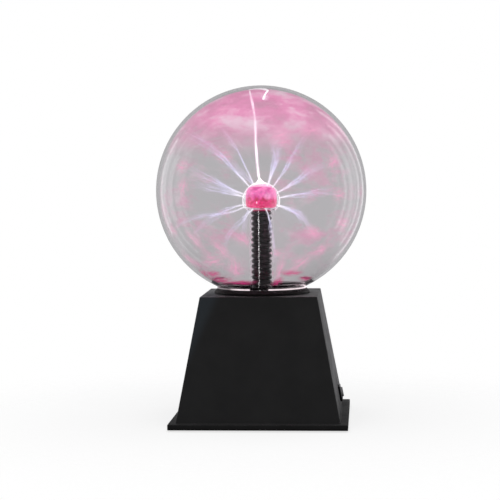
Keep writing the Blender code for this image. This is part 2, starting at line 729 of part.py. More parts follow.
def dc_jack(plastic, brass):
    """The power inlet: a bored block with a round nose through the rear wall, and its pin."""
    width, length, height = JACK_BODY
    face = JACK_FRONT_Y + length
    low = BOARD_TOP_Z + GAP
    body = block("dc_jack_body", (JACK_X - width / 2, JACK_FRONT_Y, low),
                 (JACK_X + width / 2, face, low + height), plastic)
    nose = rod("jack_nose_tool", JACK_NOSE_RADIUS, face - 2 * OVERRUN, JACK_NOSE_Y, plastic)
    bore = rod("jack_bore_tool", JACK_BORE_RADIUS, JACK_NOSE_Y - JACK_BORE_DEPTH, JACK_NOSE_Y + OVERRUN,
               plastic)
    pin = rod("dc_jack_pin", JACK_PIN_RADIUS, *JACK_PIN_Y, brass, 12, bevel=SMALL_CHAMFER)
    for piece in (nose, bore, pin):
        piece.matrix_world = facing_back(JACK_X, JACK_Z)
    join(body, nose)
    cut(body, bore)


def microphone(metal):
    """The sound sensor, lying behind its hole in the rear wall."""
    mic = rod("microphone", MIC_RADIUS, MIC_FRONT_Y, MIC_FRONT_Y + MIC_LENGTH, metal, 16,
              bevel=SMALL_CHAMFER)
    mic.matrix_world = facing_back(MIC_X, MIC_Z)


# ---- switch ----

def rocker_outline():
    """The rocker seen along its pivot: two facets to the front, arcs about the pivot at the ends."""
    rise = math.tan(ROCKER_THROW)
    lift = ROCKER_DIP + ROCKER_PIVOT_DEPTH
    a = 1 + rise ** 2
    b = 2 * lift * rise
    c = lift ** 2 - ROCKER_RADIUS ** 2
    corner_y = (-b + math.sqrt(b * b - 4 * a * c)) / (2 * a)
    start = math.atan2(corner_y, lift + rise * corner_y)
    end = arc(0, 0, ROCKER_RADIUS, start, ROCKER_BACK_ANGLE, 6)
    return [(lift, 0.0)] + end + [(x, -y) for x, y in reversed(end)]


def rocker_switch(frame, plastic, brass):
    """Switch body with its bezel, the rocker on its trunnions, and three terminals."""
    proud, bezel_y, bezel_z = BEZEL
    depth, body_y, body_z = SWITCH_BODY
    well, well_y, well_z = ROCKER_WELL
    body = block("switch_body", (-depth, -body_y, -body_z), (GAP + OVERRUN, body_y, body_z), plastic)
    bezel = block("bezel_tool", (GAP, -bezel_y, -bezel_z), (proud, bezel_y, bezel_z), plastic, BEZEL_BEVEL)
    well_tool = block("well_tool", (-well, -well_y, -well_z), (proud + OVERRUN, well_y, well_z), plastic)
    trunnion_bore = rod("trunnion_bore_tool", TRUNNION_RADIUS + GAP, -well_z - TRUNNION_REACH,
                        well_z + TRUNNION_REACH, plastic, 16, (-ROCKER_PIVOT_DEPTH, 0.0))
    join(body, bezel)
    cut(body, well_tool)
    cut(body, trunnion_bore)
    hang_on(frame, body, bezel, well_tool, trunnion_bore)

    rocker = prism("switch_rocker", rocker_outline(), -ROCKER_HALF_HEIGHT, ROCKER_HALF_HEIGHT, plastic, 20)
    trunnions = rod("trunnion_tool", TRUNNION_RADIUS, -ROCKER_HALF_HEIGHT - TRUNNION_REACH,
                    ROCKER_HALF_HEIGHT + TRUNNION_REACH, plastic, 16)
    join(rocker, trunnions)
    hang_on(frame, rocker)
    hang_on(rocker, trunnions)
    rocker.location = (-ROCKER_PIVOT_DEPTH, 0, 0)
    rocker.rotation_euler = (0, 0, -ROCKER_THROW)

    length, thickness, width = TERMINAL
    for number in (1, 2, 3):
        y = (number - 2) * TERMINAL_PITCH
        blade = block(f"switch_terminal_{number}", (-depth - GAP - length, y - thickness / 2, -width / 2),
                      (-depth - GAP, y + thickness / 2, width / 2), brass)
        hang_on(frame, blade)


def terminal_end(number):
    """World point just past the end of a switch terminal."""
    along = -SWITCH_BODY[0] - 2 * GAP - TERMINAL[0]
    y = SWITCH_Y + (number - 2) * TERMINAL_PITCH
    return Vector((wall_half(SWITCH_Z) + along * math.cos(SLOPE), y, SWITCH_Z + along * math.sin(SLOPE)))


def leads(silicone, wire):
    """The high-voltage lead, two leads to the microphone and three to the switch."""
    x, y = CORE_AT
    start_z = HV_COIL_Z[1] - 0.004
    edge = HV_COIL_RADIUS + HV_LEAD_RADIUS + GAP
    wool_bottom = WOOL_CENTRE_Z - WOOL_HALF_HEIGHT
    cable("high_voltage_lead", [
        (x + edge, y, start_z), (x + edge, y, 0.052), (x + 0.014, y - 0.003, 0.062), (0.005, 0.002, 0.074),
        (0, 0, 0.088), (0, 0, 0.125), (0, 0, 0.165), (0, 0, wool_bottom - GAP),
    ], HV_LEAD_RADIUS, silicone)
    y = MIC_FRONT_Y
    for number, side in ((1, -0.5), (2, 0.5)):
        x = MIC_X + side * MIC_LEAD_PITCH
        cable(f"microphone_lead_{number}", [
            (x, y - GAP, MIC_Z), (x, y - 0.0022, MIC_Z - 0.0006), (x, y - 0.0038, MIC_Z - 0.0030),
            (x, y - 0.0040, BOARD_TOP_Z + GAP),
        ], MIC_LEAD_RADIUS, wire, 2)
    for number in (1, 2, 3):
        end = terminal_end(number)
        foot = Vector((SWITCH_LEAD_X, end.y + 0.004, BOARD_TOP_Z + GAP))
        cable(f"switch_lead_{number}", [
            foot, foot + Vector((0, 0, 0.006)), foot.lerp(end, 0.45) + Vector((0, 0, 0.008)),
            end - Vector((0.006, 0, 0.0006)), end,
        ], SWITCH_LEAD_RADIUS, wire)


def main():
    """Build the whole object."""
    for old in list(bpy.data.objects):
        bpy.data.objects.remove(old, do_unlink=True)

    black = material("black_plastic", (0.012, 0.012, 0.013), 0.38)
    cover_black = material("cover_plastic", (0.016, 0.016, 0.017), 0.50)
    rubber = material("black_rubber", (0.014, 0.014, 0.014), 0.75)
    glass = material("clear_glass", (0.90, 0.88, 0.89), 0.02, 0.0, 1.0)
    bulb_glass = material("stem_glass", (0.92, 0.90, 0.91), 0.02, 0.0, 1.0)
    sleeve_black = material("sleeve_plastic", (0.010, 0.010, 0.011), 0.45)
    wool = material("wire_wool", (0.45, 0.43, 0.44), 0.55, 1.0)
    silicone = material("white_silicone", (0.75, 0.74, 0.72), 0.5)
    clear_silicone = material("clear_silicone", (0.85, 0.80, 0.82), 0.3)
    steel = material("plated_steel", (0.55, 0.55, 0.56), 0.35, 1.0)
    laminate = material("board_laminate", (0.05, 0.20, 0.08), 0.45)
    ferrite = material("ferrite", (0.05, 0.05, 0.055), 0.6)
    resin = material("potting_resin", (0.02, 0.02, 0.022), 0.4)
    copper = material("enamelled_copper", (0.60, 0.25, 0.09), 0.35, 0.9)
    aluminium = material("aluminium", (0.70, 0.71, 0.72), 0.35, 1.0)
    epoxy = material("black_epoxy", (0.02, 0.02, 0.02), 0.5)
    film = material("capacitor_film", (0.03, 0.04, 0.12), 0.35)
    polyester = material("polyester_film", (0.45, 0.09, 0.05), 0.4)
    brass = material("brass", (0.75, 0.58, 0.28), 0.3, 1.0)
    lead_red = material("lead_insulation", (0.35, 0.02, 0.02), 0.5)

    glass_globe(glass)
    glass_stem(bulb_glass)
    exhaust_tip(bulb_glass)
    electrode_wool(wool)
    stem_sleeve(sleeve_black)
    globe_seat_ring(rubber)
    seat_gasket(clear_silicone)
    neck_silicone(silicone)

    base_housing(black)
    base_cover(cover_black)
    for number, place in enumerate(corners(COVER_SCREW_OFFSET), 1):
        screw(f"cover_screw_{number}", place, COVER_BOTTOM_Z - GAP - SCREW_HEAD, COVER_SCREW, steel)
    for number, place in enumerate(corners(FOOT_OFFSET), 1):
        rod(f"rubber_foot_{number}", FOOT_RADIUS, 0.0, COVER_BOTTOM_Z - GAP, rubber, 20, place,
            FOOT_CHAMFER)

    driver_board(laminate)
    for number, place in enumerate(post_places(), 1):
        fixing = screw(f"board_screw_{number}", place, 0.0, BOARD_SCREW, steel)
        fixing.matrix_world = (Matrix.Translation((0, 2 * place[1], BOARD_TOP_Z + GAP + SCREW_HEAD))
                               @ Matrix.Rotation(math.pi, 4, "X"))
        recess = bpy.data.objects[f"board_screw_{number}_recess_tool"]
        recess.matrix_world = fixing.matrix_world.copy()
    flyback_cores(ferrite)
    coil("flyback_hv_coil", HV_COIL_RADIUS, HV_COIL_Z, resin, 20)
    coil("flyback_primary_coil", PRIMARY_RADIUS, PRIMARY_Z, copper, 16)
    heat_sink(aluminium)
    power_transistor(epoxy)
    electrolytic("filter_capacitor_1", FILTER_CAN_1, film)
    electrolytic("filter_capacitor_2", FILTER_CAN_2, film)
    film_capacitor(polyester)
    chip("timer_chip", TIMER_CHIP_Y, epoxy)
    chip("audio_chip", AUDIO_CHIP_Y, epoxy)
    dc_jack(black, brass)
    microphone(steel)

    frame = switch_frame("switch_frame")
    rocker_switch(frame, black, brass)
    leads(silicone, lead_red)


main()
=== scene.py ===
"""Looks of the plasma ball: glass, glowing electrode, streamers, black moulded base.

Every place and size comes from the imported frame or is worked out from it, in metres.
"""

import json
import math
import random

import bmesh
import bpy
from mathutils import Matrix, Vector, noise


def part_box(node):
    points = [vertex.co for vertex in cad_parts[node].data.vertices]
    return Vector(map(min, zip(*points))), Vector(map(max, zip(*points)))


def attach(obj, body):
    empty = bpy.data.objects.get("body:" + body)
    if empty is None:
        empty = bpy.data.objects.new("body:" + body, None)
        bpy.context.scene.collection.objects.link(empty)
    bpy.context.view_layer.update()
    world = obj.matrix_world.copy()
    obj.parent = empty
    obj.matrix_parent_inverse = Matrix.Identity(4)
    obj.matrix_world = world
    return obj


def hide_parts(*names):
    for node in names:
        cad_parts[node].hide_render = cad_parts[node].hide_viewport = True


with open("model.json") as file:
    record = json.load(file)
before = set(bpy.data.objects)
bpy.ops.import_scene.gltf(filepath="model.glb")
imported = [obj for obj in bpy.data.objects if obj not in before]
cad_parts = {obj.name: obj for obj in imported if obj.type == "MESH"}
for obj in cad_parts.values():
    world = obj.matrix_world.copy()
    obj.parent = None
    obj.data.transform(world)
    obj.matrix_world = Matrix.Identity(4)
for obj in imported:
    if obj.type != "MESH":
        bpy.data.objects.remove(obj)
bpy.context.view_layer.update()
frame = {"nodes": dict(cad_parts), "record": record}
nodes = frame["nodes"]

# ---- places read from the frame ----
globe_low, globe_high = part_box("glass_globe")
stem_low, stem_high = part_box("glass_stem")
sleeve_low, sleeve_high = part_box("stem_sleeve")
seat_low, seat_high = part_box("globe_seat_ring")
housing_low, housing_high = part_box("base_housing")

GLOBE_RADIUS = (globe_high.x - globe_low.x) / 2
GLOBE_CENTRE = Vector((0, 0, globe_high.z - GLOBE_RADIUS))
GLASS_WALL = 0.0025
NECK_RADIUS = 0.031
NECK_FILLET = 0.010
BULB_RADIUS = 0.0178
BULB_CENTRE = Vector((0, 0, stem_high.z - BULB_RADIUS))
BULB_FLOOR = 0.2030
BULB_EDGE = 0.0040
STEM_RADIUS = 0.0117
STEM_WALL = 0.0012
FLARE_TOP = 0.118
FLARE_LIP = 0.0040
BODY_TOP = housing_high.z
FLANGE_HALF = housing_high.x
FLANGE_BOTTOM = housing_low.z

# ---- measures of the shown pieces, in metres ----
BODY_BOTTOM_HALF = 0.0767
BODY_TOP_HALF = 0.05525
FLANGE_TOP = 0.0067
SLOPE = math.atan2(BODY_BOTTOM_HALF - BODY_TOP_HALF, BODY_TOP - FLANGE_TOP)
BASE_WALL = 0.0025
TOP_PLATE = 0.0030
CORNER_ROUND = 0.0010
EDGE_ROUND = 0.0006
SEAM_Z = 0.0026
SEAM = 0.0004
COVER_TOP = 0.0050
COVER_HALF = 0.0757
SWITCH_Y = 0.028
SWITCH_Z = 0.0210
SWITCH_HOLE = (0.0096, 0.0066)
JACK_HOLE = 0.0048
MIC_HOLE = 0.0011
SEAT_INNER = 0.0385
SEAT_CROWN = 0.0436
SEAT_LIP = 0.0016
GASKET_WIDTH = 0.0015
GASKET_GAP = 12.0         # degrees from the front or back to each end of its halves
SLEEVE_RIBS = 18
SLEEVE_PITCH = (sleeve_high.z - sleeve_low.z) / SLEEVE_RIBS
SLEEVE_ROOT = 0.0073
SLEEVE_BORE = 0.0035
CORE_RADIUS = 0.0155
PAINTED_REFLECTION_SPOT = Vector((0.0068, -0.0125, 0.2165))     # painted reflection: pale spot on the wire wool standing in for a curved reflection
CORE_SPAN = (BULB_FLOOR + STEM_WALL + 0.0003, BULB_CENTRE.z + BULB_RADIUS - STEM_WALL - 0.0003)
LOW_GLASS_Z = 0.1345     # below this the globe's glass mirrors less
NEEDLES = 9000
NEEDLE_RADIUS = 0.00011
NEEDLE_OUTSIDE = 0.0008
NEEDLE_INSIDE = 0.0016
CORNER_RADIUS = 0.0135     # under the bulb the points stand only outside this radius
ROOT_HEIGHT = 0.0055
ROOT_LEAN = -0.0022
HAZE_SPREAD = 150.0      # degrees down from the top

# ---- surroundings ----
FRONT_LIGHT = 0.23
BACK_LIGHT = 0.50
WINDOWS = [
    # azimuth, elevation, half width, half height, softness (as tangents), brightness
    (-136, 2, 0.030, 0.34, 0.03, 0.9),
    (-124, 2, 0.130, 0.28, 0.05, 0.35),
    (-112, 2, 0.020, 0.34, 0.02, 1.2),
    (-97, 4, 0.030, 0.50, 0.03, 0.5),
    (108, 4, 0.020, 0.60, 0.03, 1.0),
    (120, 4, 0.050, 0.60, 0.03, 0.8),
    (137, 4, 0.020, 0.60, 0.03, 1.0),
    (152, 4, 0.030, 0.60, 0.03, 0.7),
]

# ---- streamers: leaves the bulb at, meets the glass at (azimuth, elevation), droop, strands, spread, thickness ----
STREAMERS = [
    ((-80, 50), (-77, 37), 14, 12, 0.0050, 0.00036),
    ((-120, 62), (-135, 45), 8, 5, 0.0024, 0.00026),
    ((-60, 20), (-45, 15), -8, 11, 0.0060, 0.00030),
    ((-110, 12), (-126, 3), 6, 9, 0.0052, 0.00030),
    ((-55, -10), (-43, -25), 16, 7, 0.0044, 0.00028),
    ((-30, -28), (-23, -34), 14, 5, 0.0026, 0.00026),
    ((-150, -18), (-163, -30), 12, 6, 0.0036, 0.00026),
    ((40, 55), (15, 31), 10, 10, 0.0056, 0.00036),
    ((60, 45), (38, 34), 6, 8, 0.0046, 0.00030),
    ((150, 50), (168, 29), 10, 7, 0.0046, 0.00028),
    ((70, 25), (47, 16), 4, 12, 0.0066, 0.00030),
    ((110, 8), (130, -3), 8, 10, 0.0056, 0.00028),
    ((60, -12), (34, -21), 16, 9, 0.0044, 0.00030),
    ((125, -15), (148, -26), 14, 7, 0.0038, 0.00026),
    ((20, -26), (14, -42), 10, 4, 0.0014, 0.00040),
    ((-165, 25), (-152, 20), 8, 6, 0.0042, 0.00026),
    ((-95, -20), (-100, -22), 14, 5, 0.0034, 0.00026),
    ((170, -20), (175, -40), 12, 5, 0.0028, 0.00026),
]

# ---- low patches, deeper in colour, close above the seat ----
LOW_FEET = [
    (-42, -57, 0.022, 0.010, 10),
    (-18, -59, 0.020, 0.007, 5),
    (-60, -52, 0.016, 0.008, 30),
    (20, -58, 0.012, 0.007, 80),
    (52, -56, 0.016, 0.006, -15),
    (150, -58, 0.020, 0.007, 0),
    (-110, -57, 0.020, 0.007, 0),
]

# ---- patches of glow on the glass: azimuth, elevation, half length, half width, tilt in degrees ----
FOOT_SCALE = 1.6         # how far the patches spread beyond the sizes listed
FEET = [
    (-74, 29, 0.013, 0.008, 60),
    (-77, 38, 0.009, 0.005, 30),
    (-46, 14, 0.008, 0.007, 0),
    (-43, 3, 0.008, 0.007, 80),
    (-135, 46, 0.009, 0.007, 20),
    (-30, 51, 0.008, 0.006, 10),
    (-40, -27, 0.012, 0.005, -50),
    (-22, -33, 0.012, 0.005, -55),
    (-33, -40, 0.012, 0.008, 20),
    (-17, -45, 0.013, 0.006, 80),
    (-163, -31, 0.010, 0.006, 40),
    (16, 32, 0.010, 0.007, 30),
    (39, 35, 0.011, 0.008, 20),
    (168, 30, 0.010, 0.007, 0),
    (48, 16, 0.009, 0.006, 40),
    (130, -3, 0.009, 0.007, 0),
    (35, -22, 0.009, 0.005, -30),
    (57, -18, 0.009, 0.006, -10),
    (45, -33, 0.009, 0.006, 30),
    (33, -42, 0.013, 0.008, 60),
    (18, -46, 0.018, 0.004, 88),
    (148, -27, 0.009, 0.006, 10),
    (-100, -23, 0.009, 0.006, 20),
    (-60, -40, 0.012, 0.007, -20),
    (175, -41, 0.010, 0.006, 10),
    (-152, 21, 0.009, 0.007, 20),
]


# ---------------------------------------------------------------- node helpers

def new_material(name):
    """An empty node material and its output."""
    made = bpy.data.materials.new(name)
    made.use_nodes = True
    made.node_tree.nodes.clear()
    return made, made.node_tree, made.node_tree.nodes.new("ShaderNodeOutputMaterial")


def add(tree, kind, inputs=None, **settings):
    """A shader node; an input is a value, or a socket to link from."""
    made = tree.nodes.new("ShaderNode" + kind)
    for key, value in settings.items():
        setattr(made, key, value)
    for key, value in (inputs or {}).items():
        if isinstance(value, bpy.types.NodeSocket):
            tree.links.new(value, made.inputs[key])
        else:
            made.inputs[key].default_value = value
    return made


def calc(tree, operation, *values):
    """A Math node's result."""
    return add(tree, "Math", dict(enumerate(values)), operation=operation).outputs[0]


def between(tree, value, low, high, to_low=0.0, to_high=1.0):
    """Value eased from to_low at low to to_high at high."""
    inputs = {"Value": value, "From Min": low, "From Max": high, "To Min": to_low, "To Max": to_high}
    return add(tree, "MapRange", inputs, interpolation_type="SMOOTHSTEP").outputs[0]


def ramp(tree, factor, stops):
    """A colour ramp; stops are (position, colour)."""
    made = add(tree, "ValToRGB", {"Fac": factor})
    elements = made.color_ramp.elements
    while len(elements) < len(stops):
        elements.new(0.5)
    for element, (position, colour) in zip(elements, stops):
        element.position = position
        element.color = (*colour, 1.0)
    return made.outputs["Color"]


def grey(value):
    return (value, value, value)


def object_place(tree):
    """The piece's own coordinates."""
    return add(tree, "TexCoord").outputs["Object"]


def spots(tree, scale, detail=3.0, roughness=0.55, place=None):
    """Noise in the piece's own coordinates."""
    where = place or object_place(tree)
    return add(tree, "TexNoise", {"Vector": where, "Scale": scale, "Detail": detail,
                                  "Roughness": roughness}).outputs["Fac"]


def distance_from(tree, centre):
    """Distance of the shaded point from a fixed point of the piece."""
    return add(tree, "VectorMath", {0: object_place(tree), 1: centre}, operation="DISTANCE").outputs["Value"]


# ---------------------------------------------------------------- materials

def moulded(name, colour, roughness, grain=2600.0, depth=0.00002, spread=0.25, swing=0.06, shine=0.5):
    """Moulded or painted surface: mottled colour, uneven gloss and a fine grain."""
    made, tree, out = new_material(name)
    dark = tuple(c * (1 - spread) for c in colour)
    light = tuple(c * (1 + spread) for c in colour)
    tint = ramp(tree, spots(tree, 45.0, 4.0), [(0.3, dark), (0.7, light)])
    haze = spots(tree, 160.0, 5.0, 0.6)
    gloss = ramp(tree, haze, [(0.3, grey(roughness - swing)), (0.7, grey(roughness + swing))])
    bump = add(tree, "Bump", {"Height": spots(tree, grain, 2.0), "Strength": 0.6, "Distance": depth})
    shader = add(tree, "BsdfPrincipled", {"Base Color": tint, "Roughness": gloss, "Normal": bump.outputs[0],
                                          "Specular IOR Level": shine})
    tree.links.new(shader.outputs[0], out.inputs["Surface"])
    return made


def housing_plastic(name):
    """Black satin plastic: a faint bluish painted reflection high on the left, duller on the flange."""
    made, tree, out = new_material(name)
    place = object_place(tree)
    parts = add(tree, "SeparateXYZ", {0: place}).outputs
    height = parts["Z"]
    # painted reflection: a bluish tint mixed into the colour high on the left of the body
    slant = calc(tree, "MULTIPLY_ADD", parts["X"], -2.2, height)
    painted_bluish_reflection = between(tree, slant, 0.196, 0.222)
    plain = ramp(tree, spots(tree, 45.0, 4.0), [(0.3, (0.0175, 0.0175, 0.0178)), (0.7, (0.0220, 0.0220, 0.0223))])
    tint = add(tree, "MixRGB", {0: painted_bluish_reflection, 1: plain, 2: (0.0300, 0.0360, 0.0420, 1)}).outputs[0]
    satin = ramp(tree, spots(tree, 160.0, 5.0, 0.6), [(0.3, grey(0.34)), (0.7, grey(0.46))])
    dull = between(tree, height, 0.0062, 0.014, 0.24, 0.0)
    scuffs = between(tree, spots(tree, 30.0, 5.0, 0.65), 0.42, 0.66, 0.0, 0.12)
    gloss = calc(tree, "ADD", calc(tree, "ADD", satin, dull), scuffs)
    bump = add(tree, "Bump", {"Height": spots(tree, 2600.0, 2.0), "Strength": 0.6, "Distance": 0.00002})
    shader = add(tree, "BsdfPrincipled", {"Base Color": tint, "Roughness": gloss, "Normal": bump.outputs[0],
                                          "Specular IOR Level": 0.27})
    tree.links.new(shader.outputs[0], out.inputs["Surface"])
    return made


def metal(name, colour, roughness, stretch=(1, 1, 1), scale=900.0):
    """Metal with drawn or plated marks along one axis."""
    made, tree, out = new_material(name)
    where = add(tree, "Mapping", {"Vector": object_place(tree), "Scale": stretch}).outputs[0]
    marks = spots(tree, scale, 4.0, place=where)
    gloss = ramp(tree, marks, [(0.25, grey(roughness * 0.7)), (0.75, grey(roughness * 1.4))])
    tint = ramp(tree, marks, [(0.2, tuple(c * 0.85 for c in colour)), (0.8, colour)])
    bump = add(tree, "Bump", {"Height": marks, "Strength": 0.3, "Distance": 0.00002})
    shader = add(tree, "BsdfPrincipled", {"Base Color": tint, "Metallic": 1.0, "Roughness": gloss,
                                          "Normal": bump.outputs[0]})
    tree.links.new(shader.outputs[0], out.inputs["Surface"])
    return made


def silicone_with_painted_glow(name):
    """Clear silicone with a painted glow along its front and right, standing in for the globe's light."""
    made, tree, out = new_material(name)
    where = add(tree, "SeparateXYZ", {0: object_place(tree)})
    # painted glow: emission strong at the front and right of the ring, faint behind
    turn = calc(tree, "MULTIPLY_ADD", where.outputs["X"], -0.7, where.outputs["Y"])
    bright = between(tree, turn, -0.021, -0.010, 0.85, 0.05)
    veil = between(tree, spots(tree, 200.0), 0.3, 0.7, 0.8, 1.05)
    shader = add(tree, "BsdfPrincipled", {"Base Color": (0.55, 0.47, 0.50, 1), "Roughness": 0.25,
                                          "Emission Color": (1.0, 0.86, 0.90, 1),
                                          "Emission Strength": calc(tree, "MULTIPLY", bright, veil)})
    tree.links.new(shader.outputs[0], out.inputs["Surface"])
    made.cycles.emission_sampling = "NONE"
    return made


def wound(name, colour, roughness, pitch):
    """Round turns of wire, one above the other, seen as fine rings, with painted shade in the grooves between turns.
    """
    made, tree, out = new_material(name)
    height = add(tree, "SeparateXYZ", {0: object_place(tree)}).outputs["Z"]
    turns = calc(tree, "SINE", calc(tree, "MULTIPLY", height, math.tau / pitch))
    level = between(tree, turns, -1.0, 1.0)
    # painted shade: the colour drops to about a third in the grooves between turns
    tint = ramp(tree, level, [(0.0, tuple(c * 0.35 for c in colour)), (0.6, colour)])
    bump = add(tree, "Bump", {"Height": level, "Strength": 0.8, "Distance": pitch / 3})
    gloss = ramp(tree, spots(tree, 300.0), [(0.3, grey(roughness - 0.08)), (0.7, grey(roughness + 0.08))])
    shader = add(tree, "BsdfPrincipled", {"Base Color": tint, "Roughness": gloss, "Normal": bump.outputs[0],
                                          "Metallic": 0.6})
    tree.links.new(shader.outputs[0], out.inputs["Surface"])
    return made


def clear_glass(name, tint, ior, haze_top, wave, coat=0.0):
    """Blown glass: slight waves and haze; lamps shine through it."""
    made, tree, out = new_material(name)
    gloss = ramp(tree, spots(tree, 60.0, 5.0), [(0.45, grey(0.0)), (0.85, grey(haze_top))])
    bump = add(tree, "Bump", {"Height": spots(tree, 18.0, 1.0), "Strength": 0.5, "Distance": wave})
    shader = add(tree, "BsdfPrincipled", {"Base Color": (*tint, 1), "Roughness": gloss, "IOR": ior,
                                          "Transmission Weight": 1.0, "Normal": bump.outputs[0],
                                          "Coat Weight": coat, "Coat Roughness": 0.07})
    clear = add(tree, "BsdfTransparent", {"Color": (*[c ** 0.5 for c in tint], 1)})
    path = add(tree, "LightPath")
    both = add(tree, "MixShader", {0: path.outputs["Is Shadow Ray"], 1: shader.outputs[0],
                                   2: clear.outputs[0]})
    tree.links.new(both.outputs[0], out.inputs["Surface"])
    return made


def glowing(name, tree, out, made, colour, strength, density):
    """Finish a light-giving, see-through gas material."""
    shader = add(tree, "BsdfPrincipled", {"Base Color": (0, 0, 0, 1), "Roughness": 1.0,
                                          "Specular IOR Level": 0.0, "Emission Color": colour,
                                          "Emission Strength": strength, "Alpha": density})
    tree.links.new(shader.outputs[0], out.inputs["Surface"])
    made.cycles.emission_sampling = "NONE"
    return made


def gas_glow(name, colours, densities, strength, inner, outer, patchy=0.0):
    """Glowing gas whose colour and density change with the distance from the electrode's middle."""
    made, tree, out = new_material(name)
    along = add(tree, "MapRange", {"Value": distance_from(tree, BULB_CENTRE), "From Min": inner,
                                   "From Max": outer}).outputs[0]
    colour = ramp(tree, along, colours)
    density = ramp(tree, along, [(p, grey(a)) for p, a in densities])
    if patchy:
        veil = between(tree, spots(tree, 120.0), 0.35, 0.65, 1.0 - patchy, 1.0)
        density = calc(tree, "MULTIPLY", density, veil)
    return glowing(name, tree, out, made, colour, strength, density)


def foot_glow(name, colour, middle, strength):
    """Glow where a streamer spreads on the glass: dense in the middle and gone at the edge."""
    made, tree, out = new_material(name)
    away = add(tree, "VectorMath", {0: object_place(tree)}, operation="LENGTH").outputs["Value"]
    fade = between(tree, away, 0.0, 1.0, 1.0, 0.0)
    where = add(tree, "Mapping", {"Vector": object_place(tree), "Scale": (1.0, 2.6, 1.0)}).outputs[0]
    veil = between(tree, spots(tree, 1.7, 5.0, 0.65, where), 0.36, 0.66, 0.06, 1.0)
    density = calc(tree, "MULTIPLY", calc(tree, "MULTIPLY", fade, veil), middle)
    return glowing(name, tree, out, made, (*colour, 1), strength, density)


def haze_glow(name, low, high):
    """Faint pink glow on the inside of the glass: thin and broken below, strong towards the top."""
    made, tree, out = new_material(name)
    parts = add(tree, "SeparateXYZ", {0: object_place(tree)}).outputs
    height = parts["Z"]
    sides = between(tree, calc(tree, "ABSOLUTE", parts["X"]), 0.012, 0.026)
    where = add(tree, "Mapping", {"Vector": object_place(tree), "Scale": (1.0, 1.0, 1.8)}).outputs[0]
    broken = spots(tree, 30.0, 6.0, 0.62, where)
    veins = between(tree, spots(tree, 17.0, 6.0, 0.75, where), 0.50, 0.66)
    top = calc(tree, "MULTIPLY", between(tree, height, low, high), between(tree, broken, 0.36, 0.62, 0.16, 0.60))
    density = calc(tree, "ADD", top, calc(tree, "MULTIPLY", calc(tree, "MULTIPLY", veins, sides), 0.15))
    colour = ramp(tree, broken, [(0.36, (0.93, 0.20, 0.50)), (0.52, (0.98, 0.36, 0.62)), (0.66, (1.0, 0.72, 0.86))])
    return glowing(name, tree, out, made, colour, 0.95, density)


def core_glow(name):
    """Wire wool with a painted glow, as if lit pink from outside: paler above, deep magenta with rays below."""
    made, tree, out = new_material(name)
    place = object_place(tree)
    foot = Vector((0, 0, BULB_FLOOR - 0.001))
    ray = add(tree, "VectorMath", {0: place, 1: foot}, operation="SUBTRACT").outputs[0]
    ray = add(tree, "VectorMath", {0: ray}, operation="NORMALIZE").outputs[0]
    rays = spots(tree, 7.0, 4.0, 0.7, ray)
    fibres = spots(tree, 420.0, 3.0)
    height = add(tree, "SeparateXYZ", {0: place}).outputs["Z"]
    jitter = calc(tree, "MULTIPLY_ADD", rays, 0.016, -0.008)
    # painted light: the wool is paler higher up and deeper magenta lower down
    level = between(tree, calc(tree, "ADD", height, jitter), BULB_CENTRE.z - 0.001, BULB_CENTRE.z + 0.006)
    deep = ramp(tree, rays, [(0.40, (0.50, 0.0, 0.06)), (0.60, (0.92, 0.03, 0.24))])
    pale = ramp(tree, spots(tree, 110.0, 4.0), [(0.38, (0.64, 0.02, 0.27)), (0.62, (0.92, 0.20, 0.52))])
    tint = add(tree, "MixRGB", {0: level, 1: deep, 2: pale}).outputs[0]
    # painted reflection: a pale pink spot mixed into the wool's colour
    patch = between(tree, distance_from(tree, PAINTED_REFLECTION_SPOT), 0.0012, 0.0050, 0.55, 0.0)
    tint = add(tree, "MixRGB", {0: patch, 1: tint, 2: (0.93, 0.42, 0.68, 1)}).outputs[0]
    shade = between(tree, fibres, 0.3, 0.7, 0.85, 1.12)
    shaded = add(tree, "VectorMath", {0: tint, "Scale": shade}, operation="SCALE").outputs[0]
    bump = add(tree, "Bump", {"Height": fibres, "Strength": 0.5, "Distance": 0.0002})
    shader = add(tree, "BsdfPrincipled", {"Base Color": (0.10, 0.01, 0.04, 1), "Roughness": 0.6,
                                          "Emission Color": shaded, "Emission Strength": 1.08,
                                          "Normal": bump.outputs[0]})
    tree.links.new(shader.outputs[0], out.inputs["Surface"])
    made.cycles.emission_sampling = "NONE"
    return made


# ---------------------------------------------------------------- mesh helpers

def piece(name, bm, materials, body="base", replaces=(), smooth=40, matrix=None):
    """Turn a bmesh into a shown piece that rides on a body."""
    bmesh.ops.recalc_face_normals(bm, faces=bm.faces)
    mesh = bpy.data.meshes.new(name)
    bm.to_mesh(mesh)
    bm.free()
    made = bpy.data.objects.new(name, mesh)
    bpy.context.scene.collection.objects.link(made)
    for material in materials if isinstance(materials, list) else [materials]:
        mesh.materials.append(material)
    if smooth:
        mesh.shade_smooth()
        mesh.set_sharp_from_angle(angle=math.radians(smooth))
    if matrix:
        made.matrix_world = matrix
    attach(made, body)
    if replaces:
        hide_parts(*replaces)
    return made


def arc(centre_r, centre_z, radius, start, end, steps):
    """Points of an arc in the (radius, height) plane."""
    points = []
    for i in range(steps + 1):
        a = start + (end - start) * i / steps
        points.append((centre_r + radius * math.cos(a), centre_z + radius * math.sin(a)))
    return points


def lathe(profile, segments, ring=False):
    """Spin (radius, height) points about the Z axis; points at radius 0 close the ends."""
    bm = bmesh.new()
    rings = []
    for r, z in profile:
        if r < 1e-7:
            rings.append([bm.verts.new((0, 0, z))])
            continue
        rings.append([bm.verts.new((r * math.cos(math.tau * i / segments), r * math.sin(math.tau * i / segments), z))
                      for i in range(segments)])
    pairs = list(zip(rings, rings[1:]))
    if ring:
        pairs.append((rings[-1], rings[0]))
    for a, b in pairs:
        for i in range(segments):
            j = (i + 1) % segments
            corners = [a[i % len(a)], a[j % len(a)], b[j % len(b)], b[i % len(b)]]
            bm.faces.new(list(dict.fromkeys(corners)))
    return bm


